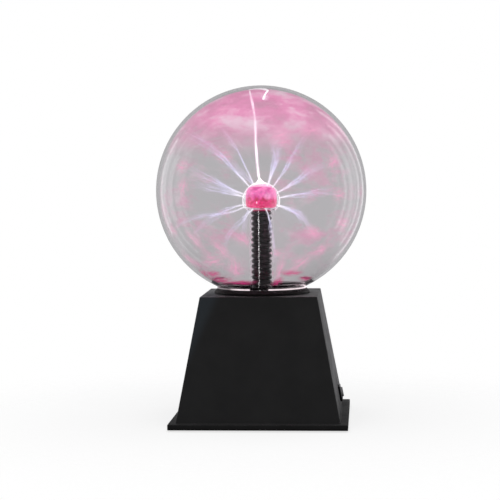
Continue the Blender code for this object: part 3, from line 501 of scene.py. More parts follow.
def arc_sweep(bm, profile, start, end, steps):
    """Sweep a closed (radius, height) profile about Z between two angles from the front, and cap it."""
    rings = []
    for i in range(steps + 1):
        a = start + (end - start) * i / steps
        rings.append([bm.verts.new((r * math.sin(a), -r * math.cos(a), z)) for r, z in profile])
    for a, b in zip(rings, rings[1:]):
        for j in range(len(profile)):
            k = (j + 1) % len(profile)
            bm.faces.new((a[j], a[k], b[k], b[j]))
    bm.faces.new(rings[0])
    bm.faces.new(rings[-1])


def direction(azimuth, elevation):
    """Unit vector for two angles in degrees; azimuth 0 is the front and 90 the right side."""
    a = math.radians(azimuth)
    e = math.radians(elevation)
    return Vector((math.sin(a) * math.cos(e), -math.cos(a) * math.cos(e), math.sin(e)))


def add_tube(bm, points, radii, sides, material_index=0):
    """Add a closed round tube along points, drawn to a tip at both ends."""
    side = (points[1] - points[0]).orthogonal()
    rings = []
    for i, point in enumerate(points):
        ahead = (points[min(i + 1, len(points) - 1)] - points[max(i - 1, 0)]).normalized()
        side = (side - ahead * side.dot(ahead)).normalized()
        up = ahead.cross(side)
        ring = []
        for j in range(sides):
            a = math.tau * j / sides
            ring.append(bm.verts.new(point + (side * math.cos(a) + up * math.sin(a)) * radii[i]))
        rings.append(ring)
    first = bm.verts.new(points[0] - (points[1] - points[0]).normalized() * radii[0])
    last = bm.verts.new(points[-1] + (points[-1] - points[-2]).normalized() * radii[-1])
    faces = []
    for a, b in zip(rings, rings[1:]):
        for j in range(sides):
            k = (j + 1) % sides
            faces.append(bm.faces.new((a[j], a[k], b[k], b[j])))
    for j in range(sides):
        k = (j + 1) % sides
        faces.append(bm.faces.new((first, rings[0][k], rings[0][j])))
        faces.append(bm.faces.new((last, rings[-1][j], rings[-1][k])))
    for face in faces:
        face.material_index = material_index


def refined(node, material, width, body="base", segments=2, crease=30.0):
    """A CAD node's shape with its sharp edges rounded over."""
    bm = bmesh.new()
    bm.from_mesh(nodes[node].data)
    bmesh.ops.remove_doubles(bm, verts=bm.verts, dist=1e-6)
    bmesh.ops.dissolve_limit(bm, angle_limit=math.radians(1.0), verts=bm.verts, edges=bm.edges)
    sharp = [e for e in bm.edges if len(e.link_faces) == 2 and e.calc_face_angle() > math.radians(crease)]
    bmesh.ops.bevel(bm, geom=sharp, offset=width, offset_type="OFFSET", segments=segments, profile=0.5,
                    affect="EDGES", clamp_overlap=True)
    return piece("fine_" + node, bm, material, body, [node], 35)


# ---------------------------------------------------------------- glass

def globe_profile(wall):
    """Half section of globe and neck, moved in from the outside by wall."""
    reach = NECK_RADIUS + NECK_FILLET
    drop = math.sqrt((GLOBE_RADIUS + NECK_FILLET) ** 2 - reach ** 2)
    meet = math.atan2(-drop, reach)
    upper = arc(0, GLOBE_CENTRE.z, GLOBE_RADIUS - wall, math.pi / 2, 0, 40)
    lower = arc(0, GLOBE_CENTRE.z, GLOBE_RADIUS - wall, 0, meet, 32)
    fillet = arc(reach, GLOBE_CENTRE.z - drop, NECK_FILLET + wall, meet + math.pi, math.pi, 12)
    return [(0, upper[0][1])] + upper[1:] + lower[1:] + fillet[1:] + [(NECK_RADIUS - wall, globe_low.z)]


def make_globe(glass, low_glass):
    """The blown globe with its neck; the glass in and above the seat mirrors less."""
    bm = lathe(globe_profile(0.0) + globe_profile(GLASS_WALL)[::-1], 160)
    for face in bm.faces:
        face.material_index = int(face.calc_center_median().z < LOW_GLASS_Z)
    return piece("blown_globe", bm, [glass, low_glass], replaces=["glass_globe"], smooth=60)


def stem_profile(wall):
    """Half section of bulb, tube and flare, moved in from the gas side by wall."""
    radius = BULB_RADIUS - wall
    floor = BULB_FLOOR + wall
    edge = BULB_EDGE - wall
    edge_z = floor + edge
    edge_r = math.sqrt((radius - edge) ** 2 - (BULB_CENTRE.z - edge_z) ** 2)
    meet = math.atan2(edge_z - BULB_CENTRE.z, edge_r)
    tube = STEM_RADIUS - wall
    rim = NECK_RADIUS - GLASS_WALL - 0.0003 - wall
    turn = FLARE_TOP - stem_low.z - FLARE_LIP
    bulb = arc(0, BULB_CENTRE.z, radius, math.pi / 2, meet, 28)
    under = arc(edge_r, edge_z, edge, meet, -math.pi / 2, 8)
    flare = arc(tube + turn, FLARE_TOP, turn, math.pi, math.pi * 1.5, 14)
    flare = [(min(r, rim), z - wall) for r, z in flare]
    return [(0, bulb[0][1])] + bulb[1:] + under[1:] + [(tube, floor)] + flare + [(rim, stem_low.z)]


def make_stem(glass):
    """The re-entrant stem: bulb, tube and flare in one piece."""
    bm = lathe(stem_profile(0.0) + stem_profile(STEM_WALL)[::-1], 96)
    return piece("blown_stem", bm, glass, replaces=["glass_stem"], smooth=50)


def make_sleeve(plastic):
    """Corrugated sleeve: round crests and narrow valleys, one to each pitch."""
    tip = (sleeve_high.x - sleeve_low.x) / 2
    profile = []
    for rib in range(SLEEVE_RIBS):
        top = sleeve_high.z - rib * SLEEVE_PITCH
        for i in range(14):
            t = i / 14
            crest = 1 - abs(2 * t - 1) ** 2.4
            profile.append((SLEEVE_ROOT + (tip - SLEEVE_ROOT) * crest, top - t * SLEEVE_PITCH))
    profile += [(SLEEVE_ROOT, sleeve_low.z), (SLEEVE_BORE, sleeve_low.z), (SLEEVE_BORE, sleeve_high.z)]
    bm = lathe(profile, 72, ring=True)
    return piece("corrugated_sleeve", bm, plastic, replaces=["stem_sleeve"], smooth=70)


def core_reach(d):
    """How far the wire wool's surface lies from its middle in direction d."""
    low, high = CORE_SPAN
    across = math.hypot(d.x, d.y)
    power = 2.3 if d.z > 0 else 6.0
    return ((across / CORE_RADIUS) ** power + (2 * abs(d.z) / (high - low)) ** power) ** (-1 / power)


def make_core(material):
    """Lumpy ball of wire wool that fills the bulb."""
    bm = bmesh.new()
    bmesh.ops.create_icosphere(bm, subdivisions=5, radius=1.0)
    middle = Vector((0, 0, sum(CORE_SPAN) / 2))
    for v in bm.verts:
        d = v.co.normalized()
        lump = noise.noise(d * 3.0) * 0.0005 + noise.noise(d * 9.0) * 0.0002
        v.co = middle + d * (core_reach(d) + lump - 0.0005)
    return piece("glowing_core", bm, material, replaces=["electrode_wool"], smooth=60)


# ---------------------------------------------------------------- plasma

def bulb_reach(d, offset):
    """How far the bulb's outside lies from its middle in direction d, moved out by offset."""
    flat = BULB_CENTRE.z - BULB_FLOOR + offset
    reach = BULB_RADIUS + offset
    if d.z < 0:
        soft = 6.0
        reach = (reach ** -soft + (flat / -d.z) ** -soft) ** (-1 / soft)
    return reach


def needle(bm, foot, tip, radius):
    """A thin three-sided spike from foot to tip."""
    along = (tip - foot).normalized()
    side = along.orthogonal().normalized()
    up = along.cross(side)
    ring = []
    for k in range(3):
        a = math.tau * k / 3
        ring.append(bm.verts.new(foot + (side * math.cos(a) + up * math.sin(a)) * radius))
    point = bm.verts.new(tip)
    for k in range(3):
        bm.faces.new((ring[k], ring[(k + 1) % 3], point))
    bm.faces.new(ring[::-1])


def spread_directions(count):
    """Evenly spread directions over a sphere."""
    golden = math.pi * (3 - math.sqrt(5))
    for i in range(count):
        z = 1 - 2 * (i + 0.5) / count
        r = math.sqrt(1 - z * z)
        yield Vector((r * math.cos(golden * i), r * math.sin(golden * i), z))


def make_corona(material):
    """Brush discharge: thousands of short fine points standing on the bulb's outside and inside."""
    rng = random.Random(7)
    bm = bmesh.new()
    low, high = CORE_SPAN
    middle = Vector((0, 0, (low + high) / 2))
    for d in spread_directions(NEEDLES):
        foot = BULB_CENTRE + d * bulb_reach(d, 0.0001)
        length = NEEDLE_OUTSIDE * (0.4 + 0.6 * rng.random())
        thick = NEEDLE_RADIUS * (0.7 + 0.6 * rng.random())
        if foot.z > BULB_CENTRE.z or math.hypot(foot.x, foot.y) > CORNER_RADIUS:
            needle(bm, foot, foot + d * length, thick)
        foot = BULB_CENTRE + d * bulb_reach(d, -STEM_WALL - 0.0001)
        tip = foot - d * NEEDLE_INSIDE * (0.8 + 0.2 * rng.random())
        away = tip - middle
        if foot.z > low + NEEDLE_INSIDE and away.length > core_reach(away.normalized()):
            needle(bm, foot, tip, thick)
    return piece("electrode_corona", bm, material, smooth=0)


def make_root(material):
    """White tent of glow that gathers into the main streamer."""
    foot_angle = math.radians(50)
    skin = BULB_RADIUS + 0.0003
    foot_r = skin * math.cos(foot_angle)
    foot_z = BULB_CENTRE.z + skin * math.sin(foot_angle)
    peak = BULB_CENTRE.z + BULB_RADIUS + ROOT_HEIGHT
    side = []
    for i in range(17):
        u = i / 16
        side.append((0.0008 + (foot_r - 0.0008) * (1 - u) ** 2.0, foot_z + (peak - foot_z) * u))
    under = arc(0, BULB_CENTRE.z, skin, foot_angle, math.pi / 2, 8)
    bm = lathe([(0, peak + 0.0006)] + side[::-1] + under[1:-1] + [(0, under[-1][1])], 40)
    for v in bm.verts:
        u = max(0.0, (v.co.z - foot_z) / (peak - foot_z))
        v.co.x += ROOT_LEAN * u ** 1.5
    return piece("main_streamer_root", bm, material, smooth=60)


def bezier(a, b, c, d, t):
    s = 1 - t
    return a * s ** 3 + b * (3 * s * s * t) + c * (3 * s * t * t) + d * t ** 3


def wander(t, seed, size):
    """Smooth sideways drift, none at the ends."""
    along = Vector((seed * 13.7, t * 2.6, seed * 5.1))
    drift = Vector(noise.noise_vector(along)) + Vector(noise.noise_vector(along * 2.7)) * 0.35
    return drift * size * math.sin(math.pi * t)


def strand(start, leave, end, arrive, seed, drift, steps=34):
    """Points of one strand from the bulb to the glass."""
    span = (end - start).length
    points = []
    for i in range(steps + 1):
        t = i / steps
        p = bezier(start, start + leave * span * 0.36, end - arrive * span * 0.36, end, t)
        points.append(p + wander(t, seed, drift))
    return points


def make_streamer(number, leave, reach, droop, strands, spread, thick, arc_glow, halo_glow):
    """A bundle of thin strands that fan out towards the glass, in a wide faint halo."""
    rng = random.Random(100 + number)
    inner = GLOBE_RADIUS - GLASS_WALL - 0.0008
    out_of_bulb = direction(*leave)
    start = BULB_CENTRE + out_of_bulb * (bulb_reach(out_of_bulb, 0.0) + 0.0004)
    end = GLOBE_CENTRE + direction(*reach) * inner
    arrive = direction(reach[0], reach[1] - droop)
    bm = bmesh.new()
    middle = strand(start, out_of_bulb, end, arrive, number, 0.0022)
    steps = len(middle)
    ahead = (end - start).normalized()
    side = ahead.orthogonal().normalized()
    up = ahead.cross(side)
    for k in range(strands):
        turn = math.tau * (k / strands + rng.random() * 0.3)
        out = side * math.cos(turn) + up * math.sin(turn)
        width = spread * (0.35 + 0.65 * rng.random())
        wobble = number * 3.3 + k * 1.7
        stop = steps if k % 3 == 0 else int(steps * (0.55 + 0.4 * rng.random()))
        points = []
        radii = []
        for i in range(stop):
            t = i / (steps - 1)
            fan = out * width * (0.05 + 1.25 * t ** 1.2)
            p = middle[i] + fan + wander(t, wobble, 0.0026)
            away = p - GLOBE_CENTRE
            if away.length > inner:
                p = GLOBE_CENTRE + away.normalized() * inner
            points.append(p)
            u = i / (stop - 1)
            radii.append(thick * (0.75 - 0.35 * u) * (1 - u ** 6) + 0.00006)
        add_tube(bm, points, radii, 6, 0)
    for share in (0.55, 1.0):
        last = int(steps * 0.93)
        points = middle[:last]
        radii = []
        for i in range(last):
            t = i / (last - 1)
            swell = 0.0011 + spread * 1.15 * t ** 0.9
            radii.append(share * swell * (1 - 0.75 * max(0.0, t - 0.6) / 0.4))
        add_tube(bm, points, radii, 12, 1)
    return piece(f"streamer_{number:02d}", bm, [arc_glow, halo_glow], smooth=80)


def make_main_streamer(core, halo):
    """The bright white arc from the root to the top of the glass, and its creeping end."""
    peak = BULB_CENTRE.z + BULB_RADIUS + ROOT_HEIGHT
    inner = GLOBE_RADIUS - GLASS_WALL - 0.0006
    top = GLOBE_CENTRE + direction(-70, 83.5) * inner
    start = Vector((ROOT_LEAN, 0, peak))
    points = []
    for i in range(61):
        t = i / 60
        p = bezier(start, start + Vector((-0.0028, 0, 0.030)), top + Vector((0.0075, 0, -0.030)), top, t)
        points.append(p + wander(t, 2.5, 0.0016))
    bm = bmesh.new()
    add_tube(bm, points, [0.00085 + 0.0002 * math.cos(i * 0.37) for i in range(61)], 10, 0)
    add_tube(bm, points[:58], [0.0017] * 58, 12, 1)
    creep = []
    for i in range(31):
        t = i / 30
        spot = direction(-70, 83.5).lerp(direction(17, 72), min(1, t * 1.9)).normalized()
        if t > 0.52:
            spot = direction(17, 72).lerp(direction(7, 60), (t - 0.52) / 0.48).normalized()
        creep.append(GLOBE_CENTRE + spot * inner + wander(t, 8.0, 0.0008))
    creep = [GLOBE_CENTRE + (p - GLOBE_CENTRE).normalized() * inner for p in creep]
    add_tube(bm, creep, [0.0004 + 0.0005 * (i / 30) for i in range(31)], 8, 0)
    return piece("main_streamer", bm, [core, halo], smooth=80)


def make_foot(number, azimuth, elevation, length, width, tilt, glow):
    """Thin closed patch of glow that follows the inside of the glass."""
    inner = GLOBE_RADIUS - GLASS_WALL - 0.0003
    out = direction(azimuth, elevation)
    level = Vector((0, 0, 1)).cross(out).normalized()
    up = out.cross(level)
    a = math.radians(tilt)
    along = level * math.cos(a) + up * math.sin(a)
    across = out.cross(along)
    centre = GLOBE_CENTRE + out * inner
    matrix = Matrix.Translation(centre) @ Matrix((along, across, out)).transposed().to_4x4()
    matrix = matrix @ Matrix.Diagonal((length, width, width, 1.0))
    back = matrix.inverted()
    bm = bmesh.new()
    layers = []
    for radius in (inner, inner - 0.0002):
        rings = [[bm.verts.new(back @ (GLOBE_CENTRE + out * radius))]]
        for k in range(1, 7):
            ring = []
            for j in range(28):
                turn = math.tau * j / 28
                offset = along * (length * k / 6 * math.cos(turn)) + across * (width * k / 6 * math.sin(turn))
                spot = (out * radius + offset).normalized() * radius
                ring.append(bm.verts.new(back @ (GLOBE_CENTRE + spot)))
            rings.append(ring)
        layers.append(rings)
    for rings in layers:
        for a_ring, b_ring in zip(rings, rings[1:]):
            for j in range(28):
                k = (j + 1) % 28
                corners = [a_ring[j % len(a_ring)], a_ring[k % len(a_ring)], b_ring[k], b_ring[j]]
                bm.faces.new(list(dict.fromkeys(corners)))
    for j in range(28):
        k = (j + 1) % 28
        bm.faces.new((layers[0][-1][j], layers[0][-1][k], layers[1][-1][k], layers[1][-1][j]))
    return piece(f"streamer_foot_{number:02d}", bm, glow, smooth=60, matrix=matrix)


def make_haze(glow):
    """Thin closed shell of faint glow on the inside of the glass."""
    inner = GLOBE_RADIUS - GLASS_WALL - 0.0010
    low = math.radians(90 - HAZE_SPREAD)
    outside = arc(0, GLOBE_CENTRE.z, inner, math.pi / 2, low, 50)
    inside = arc(0, GLOBE_CENTRE.z, inner - 0.0003, low, math.pi / 2, 50)
    bm = lathe([(0, outside[0][1])] + outside[1:] + inside[:-1] + [(0, inside[-1][1])], 96)
    return piece("wall_haze", bm, glow, smooth=60)


# ---------------------------------------------------------------- base

def wall_half(z, inset=0.0):
    """Half width of the sloping faces at height z, moved in square to them by inset."""
    return BODY_BOTTOM_HALF - math.tan(SLOPE) * (z - FLANGE_TOP) - inset / math.cos(SLOPE)


def rounded_square(half, radius, steps):
    """Corner points of a square of half width half, with rounded corners."""
    points = []
    for quarter in range(4):
        turn = Matrix.Rotation(quarter * math.pi / 2, 2)
        corner = Vector((half - radius, half - radius))
        for i in range(steps + 1):
            a = (math.pi / 2) * i / steps
            points.append(turn @ (corner + Vector((math.cos(a), math.sin(a))) * radius))
    return points


def square_loft(profile, steps):
    """Loft rounded squares through (half width, height, corner radius); both ends are capped."""
    bm = bmesh.new()
    rings = []
    for half, z, radius in profile:
        rings.append([bm.verts.new((p.x, p.y, z)) for p in rounded_square(half, radius, steps)])
    bm.faces.new(rings[0])
    bm.faces.new(rings[-1])
    for upper, lower in zip(rings, rings[1:]):
        for i in range(len(upper)):
            j = (i + 1) % len(upper)
            bm.faces.new((upper[i], upper[j], lower[j], lower[i]))
    return bm


def temporary(name, bm):
    """A cutter object; it is removed after use."""
    bmesh.ops.recalc_face_normals(bm, faces=bm.faces)
    mesh = bpy.data.meshes.new(name)
    bm.to_mesh(mesh)
    bm.free()
    made = bpy.data.objects.new(name, mesh)
    bpy.context.scene.collection.objects.link(made)
    return made


def box_mesh(low, high):
    """A box between two corners."""
    bm = bmesh.new()
    size = [b - a for a, b in zip(low, high)]
    middle = [(a + b) / 2 for a, b in zip(low, high)]
    bmesh.ops.create_cube(bm, size=1.0, matrix=Matrix.Translation(middle) @ Matrix.Diagonal((*size, 1.0)))
    return bm


def level_hole(name, x, z, radius):
    """A round cutter through the rear wall."""
    made = temporary(name, lathe([(0, -0.012), (radius, -0.012), (radius, 0.012), (0, 0.012)], 40))
    made.matrix_world = Matrix.Translation((x, wall_half(z), z)) @ Matrix.Rotation(math.pi / 2, 4, "X")
    return made


def make_housing(plastic):
    """The moulded body and flange, with rounded edges and its openings."""
    r = EDGE_ROUND
    ceiling = BODY_TOP - TOP_PLATE
    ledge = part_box("base_cover")[1].z
    ledge = COVER_TOP + 0.0003
    recess = COVER_HALF + 0.0003
    profile = [(h, z) for h, z in arc(wall_half(BODY_TOP - r, r), BODY_TOP - r, r, math.pi / 2, SLOPE, 4)]
    profile += arc(wall_half(FLANGE_TOP + r, -r), FLANGE_TOP + r, r, math.pi + SLOPE, math.pi * 1.5, 4)
    profile += arc(FLANGE_HALF - r, FLANGE_TOP - r, r, math.pi / 2, 0, 4)
    profile += [(FLANGE_HALF, SEAM_Z + SEAM / 2), (FLANGE_HALF - SEAM, SEAM_Z), (FLANGE_HALF, SEAM_Z - SEAM / 2)]
    profile += arc(FLANGE_HALF - r / 2, FLANGE_BOTTOM + r / 2, r / 2, 0, -math.pi / 2, 3)
    profile += [(recess, FLANGE_BOTTOM), (recess, ledge), (wall_half(ledge, BASE_WALL), ledge),
                (wall_half(ceiling, BASE_WALL), ceiling)]
    shell = temporary("base_shell", square_loft([(h, z, CORNER_ROUND) for h, z in profile], 5))
    neck = (nodes["neck_silicone"].dimensions.x / 2) + 0.0003
    tools = [temporary("neck_cut", lathe([(0, ceiling - 0.001), (neck, ceiling - 0.001), (neck, BODY_TOP + 0.001),
                                          (0, BODY_TOP + 0.001)], 96))]
    body_low, body_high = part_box("dc_jack_body")
    nose = (body_low.x + body_high.x) / 2
    pin_low, pin_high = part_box("dc_jack_pin")
    jack_z = (pin_low.z + pin_high.z) / 2
    tools.append(level_hole("jack_cut", nose, jack_z, JACK_HOLE))
    mic_low, mic_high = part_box("microphone")
    tools.append(level_hole("mic_cut", (mic_low.x + mic_high.x) / 2, (mic_low.z + mic_high.z) / 2, MIC_HOLE))
    cutout = temporary("switch_cut", box_mesh((-0.006, -SWITCH_HOLE[0], -SWITCH_HOLE[1]),
                                              (0.004, SWITCH_HOLE[0], SWITCH_HOLE[1])))
    cutout.matrix_world = (Matrix.Translation((wall_half(SWITCH_Z), SWITCH_Y, SWITCH_Z))
                           @ Matrix.Rotation(-SLOPE, 4, "Y"))
    tools.append(cutout)
    for tool in tools:
        step = shell.modifiers.new(tool.name, "BOOLEAN")
        step.operation = "DIFFERENCE"
        step.object = tool
    bpy.context.view_layer.update()
    result = shell.evaluated_get(bpy.context.evaluated_depsgraph_get())
    bm = bmesh.new()
    bm.from_mesh(result.to_mesh())
    for old in [shell] + tools:
        bpy.data.objects.remove(old, do_unlink=True)
    return piece("moulded_housing", bm, plastic, replaces=["base_housing"], smooth=30)


def make_seat(rubber, silicone):
    """The black seat ring with its soft edges, and the clear gasket on its crown."""
    outer = (seat_high.x - seat_low.x) / 2
    bottom = seat_low.z
    top = seat_high.z
    radius = GLOBE_RADIUS + 0.0004
    hollow = arc(0, GLOBE_CENTRE.z, radius, -math.acos(SEAT_INNER / radius),
                 math.asin((top - GLOBE_CENTRE.z) / radius), 8)
    soft = 0.0005
    lip = arc(outer - soft, bottom + SEAT_LIP - soft, soft, 0, math.radians(60), 4)
    shoulder = arc(SEAT_CROWN - soft, top - soft, soft, math.radians(60), math.pi / 2, 3)
    profile = [(outer, bottom), (SEAT_INNER, bottom)] + hollow + shoulder[::-1] + lip[::-1]
    piece("soft_seat_ring", lathe(profile, 128, ring=True), rubber,
          replaces=["globe_seat_ring"], smooth=35)
    gasket_low, gasket_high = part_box("seat_gasket_right")
    rim = gasket_high.x
    inner = rim - GASKET_WIDTH
    crown = []
    for i in range(6):
        r = inner + GASKET_WIDTH * i / 5
        crown.append((r, GLOBE_CENTRE.z - math.sqrt(radius ** 2 - r ** 2)))
    profile = crown + [(rim, gasket_low.z), (inner, gasket_low.z)]
    bm = bmesh.new()
    for side in (-1, 1):
        arc_sweep(bm, profile, side * math.radians(GASKET_GAP), side * math.radians(180 - GASKET_GAP), 60)
    piece("clear_gasket", bm, silicone, replaces=["seat_gasket_left", "seat_gasket_right"], smooth=35)


def make_feet(rubber):
    """Four soft feet with rounded rims and a shallow hollow underneath."""
    for number in range(1, 5):
        node = f"rubber_foot_{number}"
        low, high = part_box(node)
        radius = (high.x - low.x) / 2
        soft = 0.0007
        profile = [(0, high.z), (radius, high.z)]
        profile += arc(radius - soft, low.z + soft, soft, 0, -math.pi / 2, 4)
        profile += [(radius * 0.55, low.z), (radius * 0.5, low.z + 0.0004), (0, low.z + 0.0004)]
        bm = lathe(profile, 48)
        bmesh.ops.translate(bm, verts=bm.verts, vec=((low.x + high.x) / 2, (low.y + high.y) / 2, 0))
        piece(f"soft_foot_{number}", bm, rubber, replaces=[node], smooth=35)


# ---------------------------------------------------------------- stage

def area_light(name, place, target, size, power, glossy=False):
    """A soft rectangular lamp that the camera doesn't see."""
    data = bpy.data.lights.new(name, "AREA")
    data.shape = "RECTANGLE"
    data.size, data.size_y = size
    data.energy = power
    made = bpy.data.objects.new(name, data)
    made.location = place
    made.rotation_euler = (Vector(target) - Vector(place)).to_track_quat("-Z", "Y").to_euler()
    made.visible_camera = False
    made.visible_transmission = False
    made.visible_glossy = glossy
    bpy.context.scene.collection.objects.link(made)
    return made


def light_only(lamp, *lit):
    """Keep a lamp's light, and its highlight, to a few pieces."""
    group = bpy.data.collections.new(lamp.name + "_lights")
    for made in lit:
        group.objects.link(made)
    lamp.light_linking.receiver_collection = group


def make_floor():
    """A pale floor that fades into the white surroundings, and is darker in reflections."""
    bm = bmesh.new()
    bmesh.ops.create_circle(bm, cap_ends=True, radius=2.0, segments=96)
    mesh = bpy.data.meshes.new("floor")
    bm.to_mesh(mesh)
    bm.free()
    floor = bpy.data.objects.new("floor", mesh)
    bpy.context.scene.collection.objects.link(floor)
    made, tree, out = new_material("pale_floor")
    place = object_place(tree)
    away = add(tree, "VectorMath", {0: place}, operation="LENGTH").outputs["Value"]
    fade = between(tree, away, 0.16, 0.42)
    seen = add(tree, "LightPath").outputs["Is Camera Ray"]
    pale = add(tree, "MixRGB", {0: seen, 1: (0.3, 0.3, 0.3, 1), 2: (0.9, 0.9, 0.9, 1)}).outputs[0]
    ground = add(tree, "BsdfDiffuse", {"Color": pale})
    bright = add(tree, "Emission", {"Color": (1, 1, 1, 1), "Strength": seen})
    lifted = add(tree, "MixShader", {0: 0.72, 1: ground.outputs[0], 2: bright.outputs[0]})
    gone = add(tree, "BsdfTransparent")
    both = add(tree, "MixShader", {0: fade, 1: lifted.outputs[0], 2: gone.outputs[0]})
    tree.links.new(both.outputs[0], out.inputs["Surface"])
    mesh.materials.append(made)


def window(tree, heading, azimuth, elevation, half_width, half_height, soft, strength):
    """Brightness of a soft-edged window in the surroundings, seen in a direction."""
    middle = direction(azimuth, elevation)
    side = Vector((0, 0, 1)).cross(middle).normalized()
    up = middle.cross(side)
    depth = add(tree, "VectorMath", {0: heading, 1: middle}, operation="DOT_PRODUCT").outputs["Value"]
    ahead = calc(tree, "MAXIMUM", depth, 0.001)
    share = strength
    for axis, half in ((side, half_width), (up, half_height)):
        offset = add(tree, "VectorMath", {0: heading, 1: axis}, operation="DOT_PRODUCT").outputs["Value"]
        ratio = calc(tree, "ABSOLUTE", calc(tree, "DIVIDE", offset, ahead))
        share = calc(tree, "MULTIPLY", between(tree, ratio, half, half + soft, 1.0, 0.0), share)
    return calc(tree, "MULTIPLY", share, calc(tree, "GREATER_THAN", depth, 0.0))


def make_world():
    """White surroundings for the camera, and a dimmer studio with windows for reflections."""
    world = bpy.data.worlds.new("studio")
    bpy.context.scene.world = world
    world.use_nodes = True
    tree = world.node_tree
    tree.nodes.clear()
    out = tree.nodes.new("ShaderNodeOutputWorld")
    heading = add(tree, "TexCoord").outputs["Generated"]
    parts = add(tree, "SeparateXYZ", {0: heading})
    light = between(tree, parts.outputs["Y"], -0.75, 0.85, FRONT_LIGHT, BACK_LIGHT)
    light = calc(tree, "MULTIPLY", light, between(tree, parts.outputs["Z"], 0.32, 0.66, 1.0, 0.50))
    for place in WINDOWS:
        light = calc(tree, "ADD", light, window(tree, heading, *place))
    studio = add(tree, "Background", {"Color": (0.985, 0.975, 1.0, 1), "Strength": light})
    seen = add(tree, "Background", {"Color": (1, 1, 1, 1), "Strength": 1.0})
    path = add(tree, "LightPath")
    both = add(tree, "MixShader", {0: path.outputs["Is Camera Ray"], 1: studio.outputs[0], 2: seen.outputs[0]})
    tree.links.new(both.outputs[0], out.inputs["Surface"])


def make_camera():
    """The photograph's view: from the front, a little to the right, nearly level, with a long lens."""
    data = bpy.data.cameras.new("camera")
    data.sensor_width = 36.0
    data.lens = 113.2
    camera = bpy.data.objects.new("camera", data)
    pitch = math.radians(-2.88)
    yaw = math.radians(4.22)
    roll = math.radians(-0.51)
    camera.matrix_world = (Matrix.Translation((0.1008, -1.5198, 0.2409)) @ Matrix.Rotation(yaw, 4, "Z")
                           @ Matrix.Rotation(math.pi / 2 + pitch, 4, "X") @ Matrix.Rotation(roll, 4, "Z"))
    bpy.context.scene.collection.objects.link(camera)
    bpy.context.scene.camera = camera


# ---------------------------------------------------------------- build

make_camera()
make_floor()
make_world()
area_light("overhead", (0.0, -0.3, 1.6), (0, 0, 0), (1.6, 1.6), 27)

black = housing_plastic("black_plastic")
cover = moulded("cover_plastic", (0.016, 0.016, 0.017), 0.52)
rubber = moulded("black_rubber", (0.006, 0.005, 0.005), 0.55, shine=0.2)
sleeve = moulded("sleeve_plastic", (0.008, 0.009, 0.009), 0.30, shine=0.5)
# the gasket's material: clear silicone with a painted glow
gasket = silicone_with_painted_glow("clear_silicone")
globe_glass = clear_glass("globe_glass", (0.975, 0.965, 0.972), 1.33, 0.035, 0.00004)
low_glass = clear_glass("low_globe_glass", (0.975, 0.965, 0.972), 1.10, 0.020, 0.00002)
stem_glass = clear_glass("stem_glass", (0.98, 0.97, 0.98), 1.05, 0.0, 0.0, coat=0.6)
by_slot = {
    "black_plastic": black,
    "cover_plastic": cover,
    "black_rubber": rubber,
    "globe_glass": globe_glass,
    "stem_glass": stem_glass,
    "sleeve_plastic": sleeve,
    "clear_silicone": gasket,
    "white_silicone": moulded("white_silicone", (0.72, 0.70, 0.68), 0.45),
    "switch_plastic": moulded("switch_plastic", (0.009, 0.009, 0.010), 0.30, shine=0.4),
    "jack_plastic": moulded("jack_plastic", (0.011, 0.011, 0.012), 0.45),
    "board_laminate": moulded("board_laminate", (0.02, 0.12, 0.04), 0.42, grain=900.0),
    "ferrite": moulded("ferrite", (0.05, 0.05, 0.055), 0.62, grain=3500.0, depth=0.00004),
    "potting_resin": moulded("potting_resin", (0.02, 0.02, 0.022), 0.35, grain=300.0),
    "enamelled_copper": wound("enamelled_copper", (0.62, 0.24, 0.08), 0.35, 0.0006),
    "aluminium": metal("aluminium", (0.78, 0.79, 0.80), 0.34, (1, 1, 12), 500.0),
    "black_epoxy": moulded("black_epoxy", (0.018, 0.018, 0.018), 0.55, grain=4200.0),
    "capacitor_film": moulded("capacitor_film", (0.02, 0.03, 0.11), 0.30, grain=500.0),
    "polyester_film": moulded("polyester_film", (0.40, 0.07, 0.035), 0.36, grain=700.0),
    "plated_steel": metal("plated_steel", (0.62, 0.62, 0.64), 0.30),
    "brass": metal("brass", (0.76, 0.58, 0.28), 0.28),
    "lead_insulation": moulded("lead_insulation", (0.30, 0.015, 0.015), 0.42, grain=1500.0),
}
for part in frame["record"]["subparts"]:
    mesh = nodes[part["node"]].data
    mesh.materials.clear()
    mesh.materials.append(by_slot.get(part["material_slot"], black))

make_globe(globe_glass, low_glass)
light_only(area_light("stem_strip", (-0.57, -1.33, 0.04), (0, 0, 0.16), (0.15, 0.36), 13.0, True),
           make_stem(stem_glass))
make_sleeve(sleeve)
make_housing(black)
make_seat(rubber, gasket)
make_feet(rubber)
refined("switch_body", by_slot["switch_plastic"], 0.00020)
refined("switch_rocker", by_slot["switch_plastic"], 0.00030, "rocker")
refined("dc_jack_body", by_slot["jack_plastic"], 0.00025)

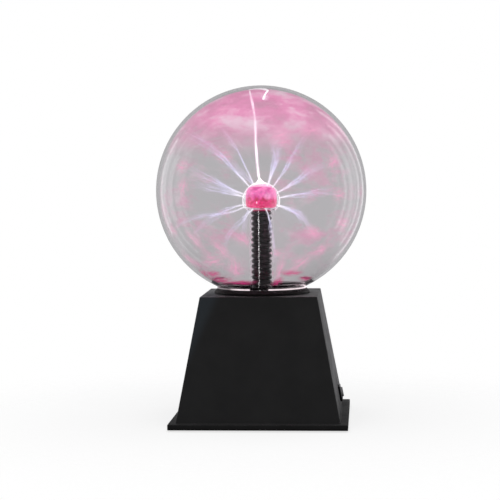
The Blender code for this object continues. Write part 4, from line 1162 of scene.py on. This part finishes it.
make_core(core_glow("wool_glow"))
white = [(0.0, (1.0, 0.93, 0.99)), (1.0, (1.0, 0.95, 1.0))]
rim = [(0.0, (0.95, 0.45, 0.75)), (0.45, (1.0, 0.72, 0.90)), (0.75, (1.0, 0.95, 1.0)), (1.0, (1.0, 0.95, 1.0))]
make_corona(gas_glow("corona_glow", rim, [(0.0, 0.10), (0.45, 0.13), (0.75, 0.17), (1.0, 0.12)], 2.5,
                     BULB_RADIUS - STEM_WALL - NEEDLE_INSIDE, BULB_RADIUS + NEEDLE_OUTSIDE))
root_glow = gas_glow("root_glow", white, [(0.0, 0.06), (0.08, 0.28), (0.22, 0.80), (0.5, 1.0)], 1.6,
                     BULB_RADIUS, BULB_RADIUS + ROOT_HEIGHT)
make_root(root_glow)
main_glow = gas_glow("main_glow", [(0.0, (1.0, 0.95, 1.0)), (1.0, (1.0, 0.90, 0.97))], [(0.0, 1.0), (1.0, 0.9)],
                     1.5, 0.02, 0.11)
main_halo = gas_glow("main_halo", [(0.0, (1.0, 0.80, 0.95)), (1.0, (1.0, 0.62, 0.85))], [(0.0, 0.30), (1.0, 0.30)],
                     1.1, 0.02, 0.11)
make_main_streamer(main_glow, main_halo)
lilac = [(0.0, (0.98, 0.93, 1.0)), (0.3, (0.76, 0.72, 1.0)), (0.75, (0.86, 0.68, 0.95)), (1.0, (1.0, 0.50, 0.72))]
arc_glow = gas_glow("streamer_glow", lilac, [(0.0, 0.75), (0.10, 0.50), (0.25, 0.34), (0.7, 0.26), (1.0, 0.30)], 1.15,
                    0.018, 0.105, patchy=0.6)
halo_glow = gas_glow("streamer_halo", lilac, [(0.0, 0.10), (0.2, 0.04), (0.8, 0.03), (1.0, 0.01)], 1.0,
                     0.018, 0.105, patchy=0.5)
for number, (leave, reach, droop, strands, spread, thick) in enumerate(STREAMERS, 1):
    make_streamer(number, leave, reach, droop, strands, spread, thick, arc_glow, halo_glow)
pink = foot_glow("foot_glow", (1.0, 0.44, 0.66), 0.48, 1.0)
magenta = foot_glow("magenta_foot_glow", (0.72, 0.05, 0.24), 0.95, 0.9)
pale_pink = foot_glow("bright_foot_glow", (1.0, 0.75, 0.92), 0.9, 1.2)
for number, (azimuth, elevation, length, width, tilt) in enumerate(FEET, 1):
    make_foot(number, azimuth, elevation, length * FOOT_SCALE, width * FOOT_SCALE, tilt, pink)
for number, place in enumerate(LOW_FEET, len(FEET) + 1):
    make_foot(number, *place, magenta)
make_foot(len(FEET) + len(LOW_FEET) + 1, 9, 62, 0.009, 0.005, 88, pale_pink)
make_haze(haze_glow("haze_glow", GLOBE_CENTRE.z + 0.028, GLOBE_CENTRE.z + 0.095))

render_settings = bpy.context.scene
render_settings.view_settings.view_transform = "Standard"
render_settings.cycles.transparent_max_bounces = 64
render_settings.cycles.transmission_bounces = 16
render_settings.cycles.max_bounces = 20
render_settings.cycles.caustics_reflective = False
render_settings.cycles.caustics_refractive = False
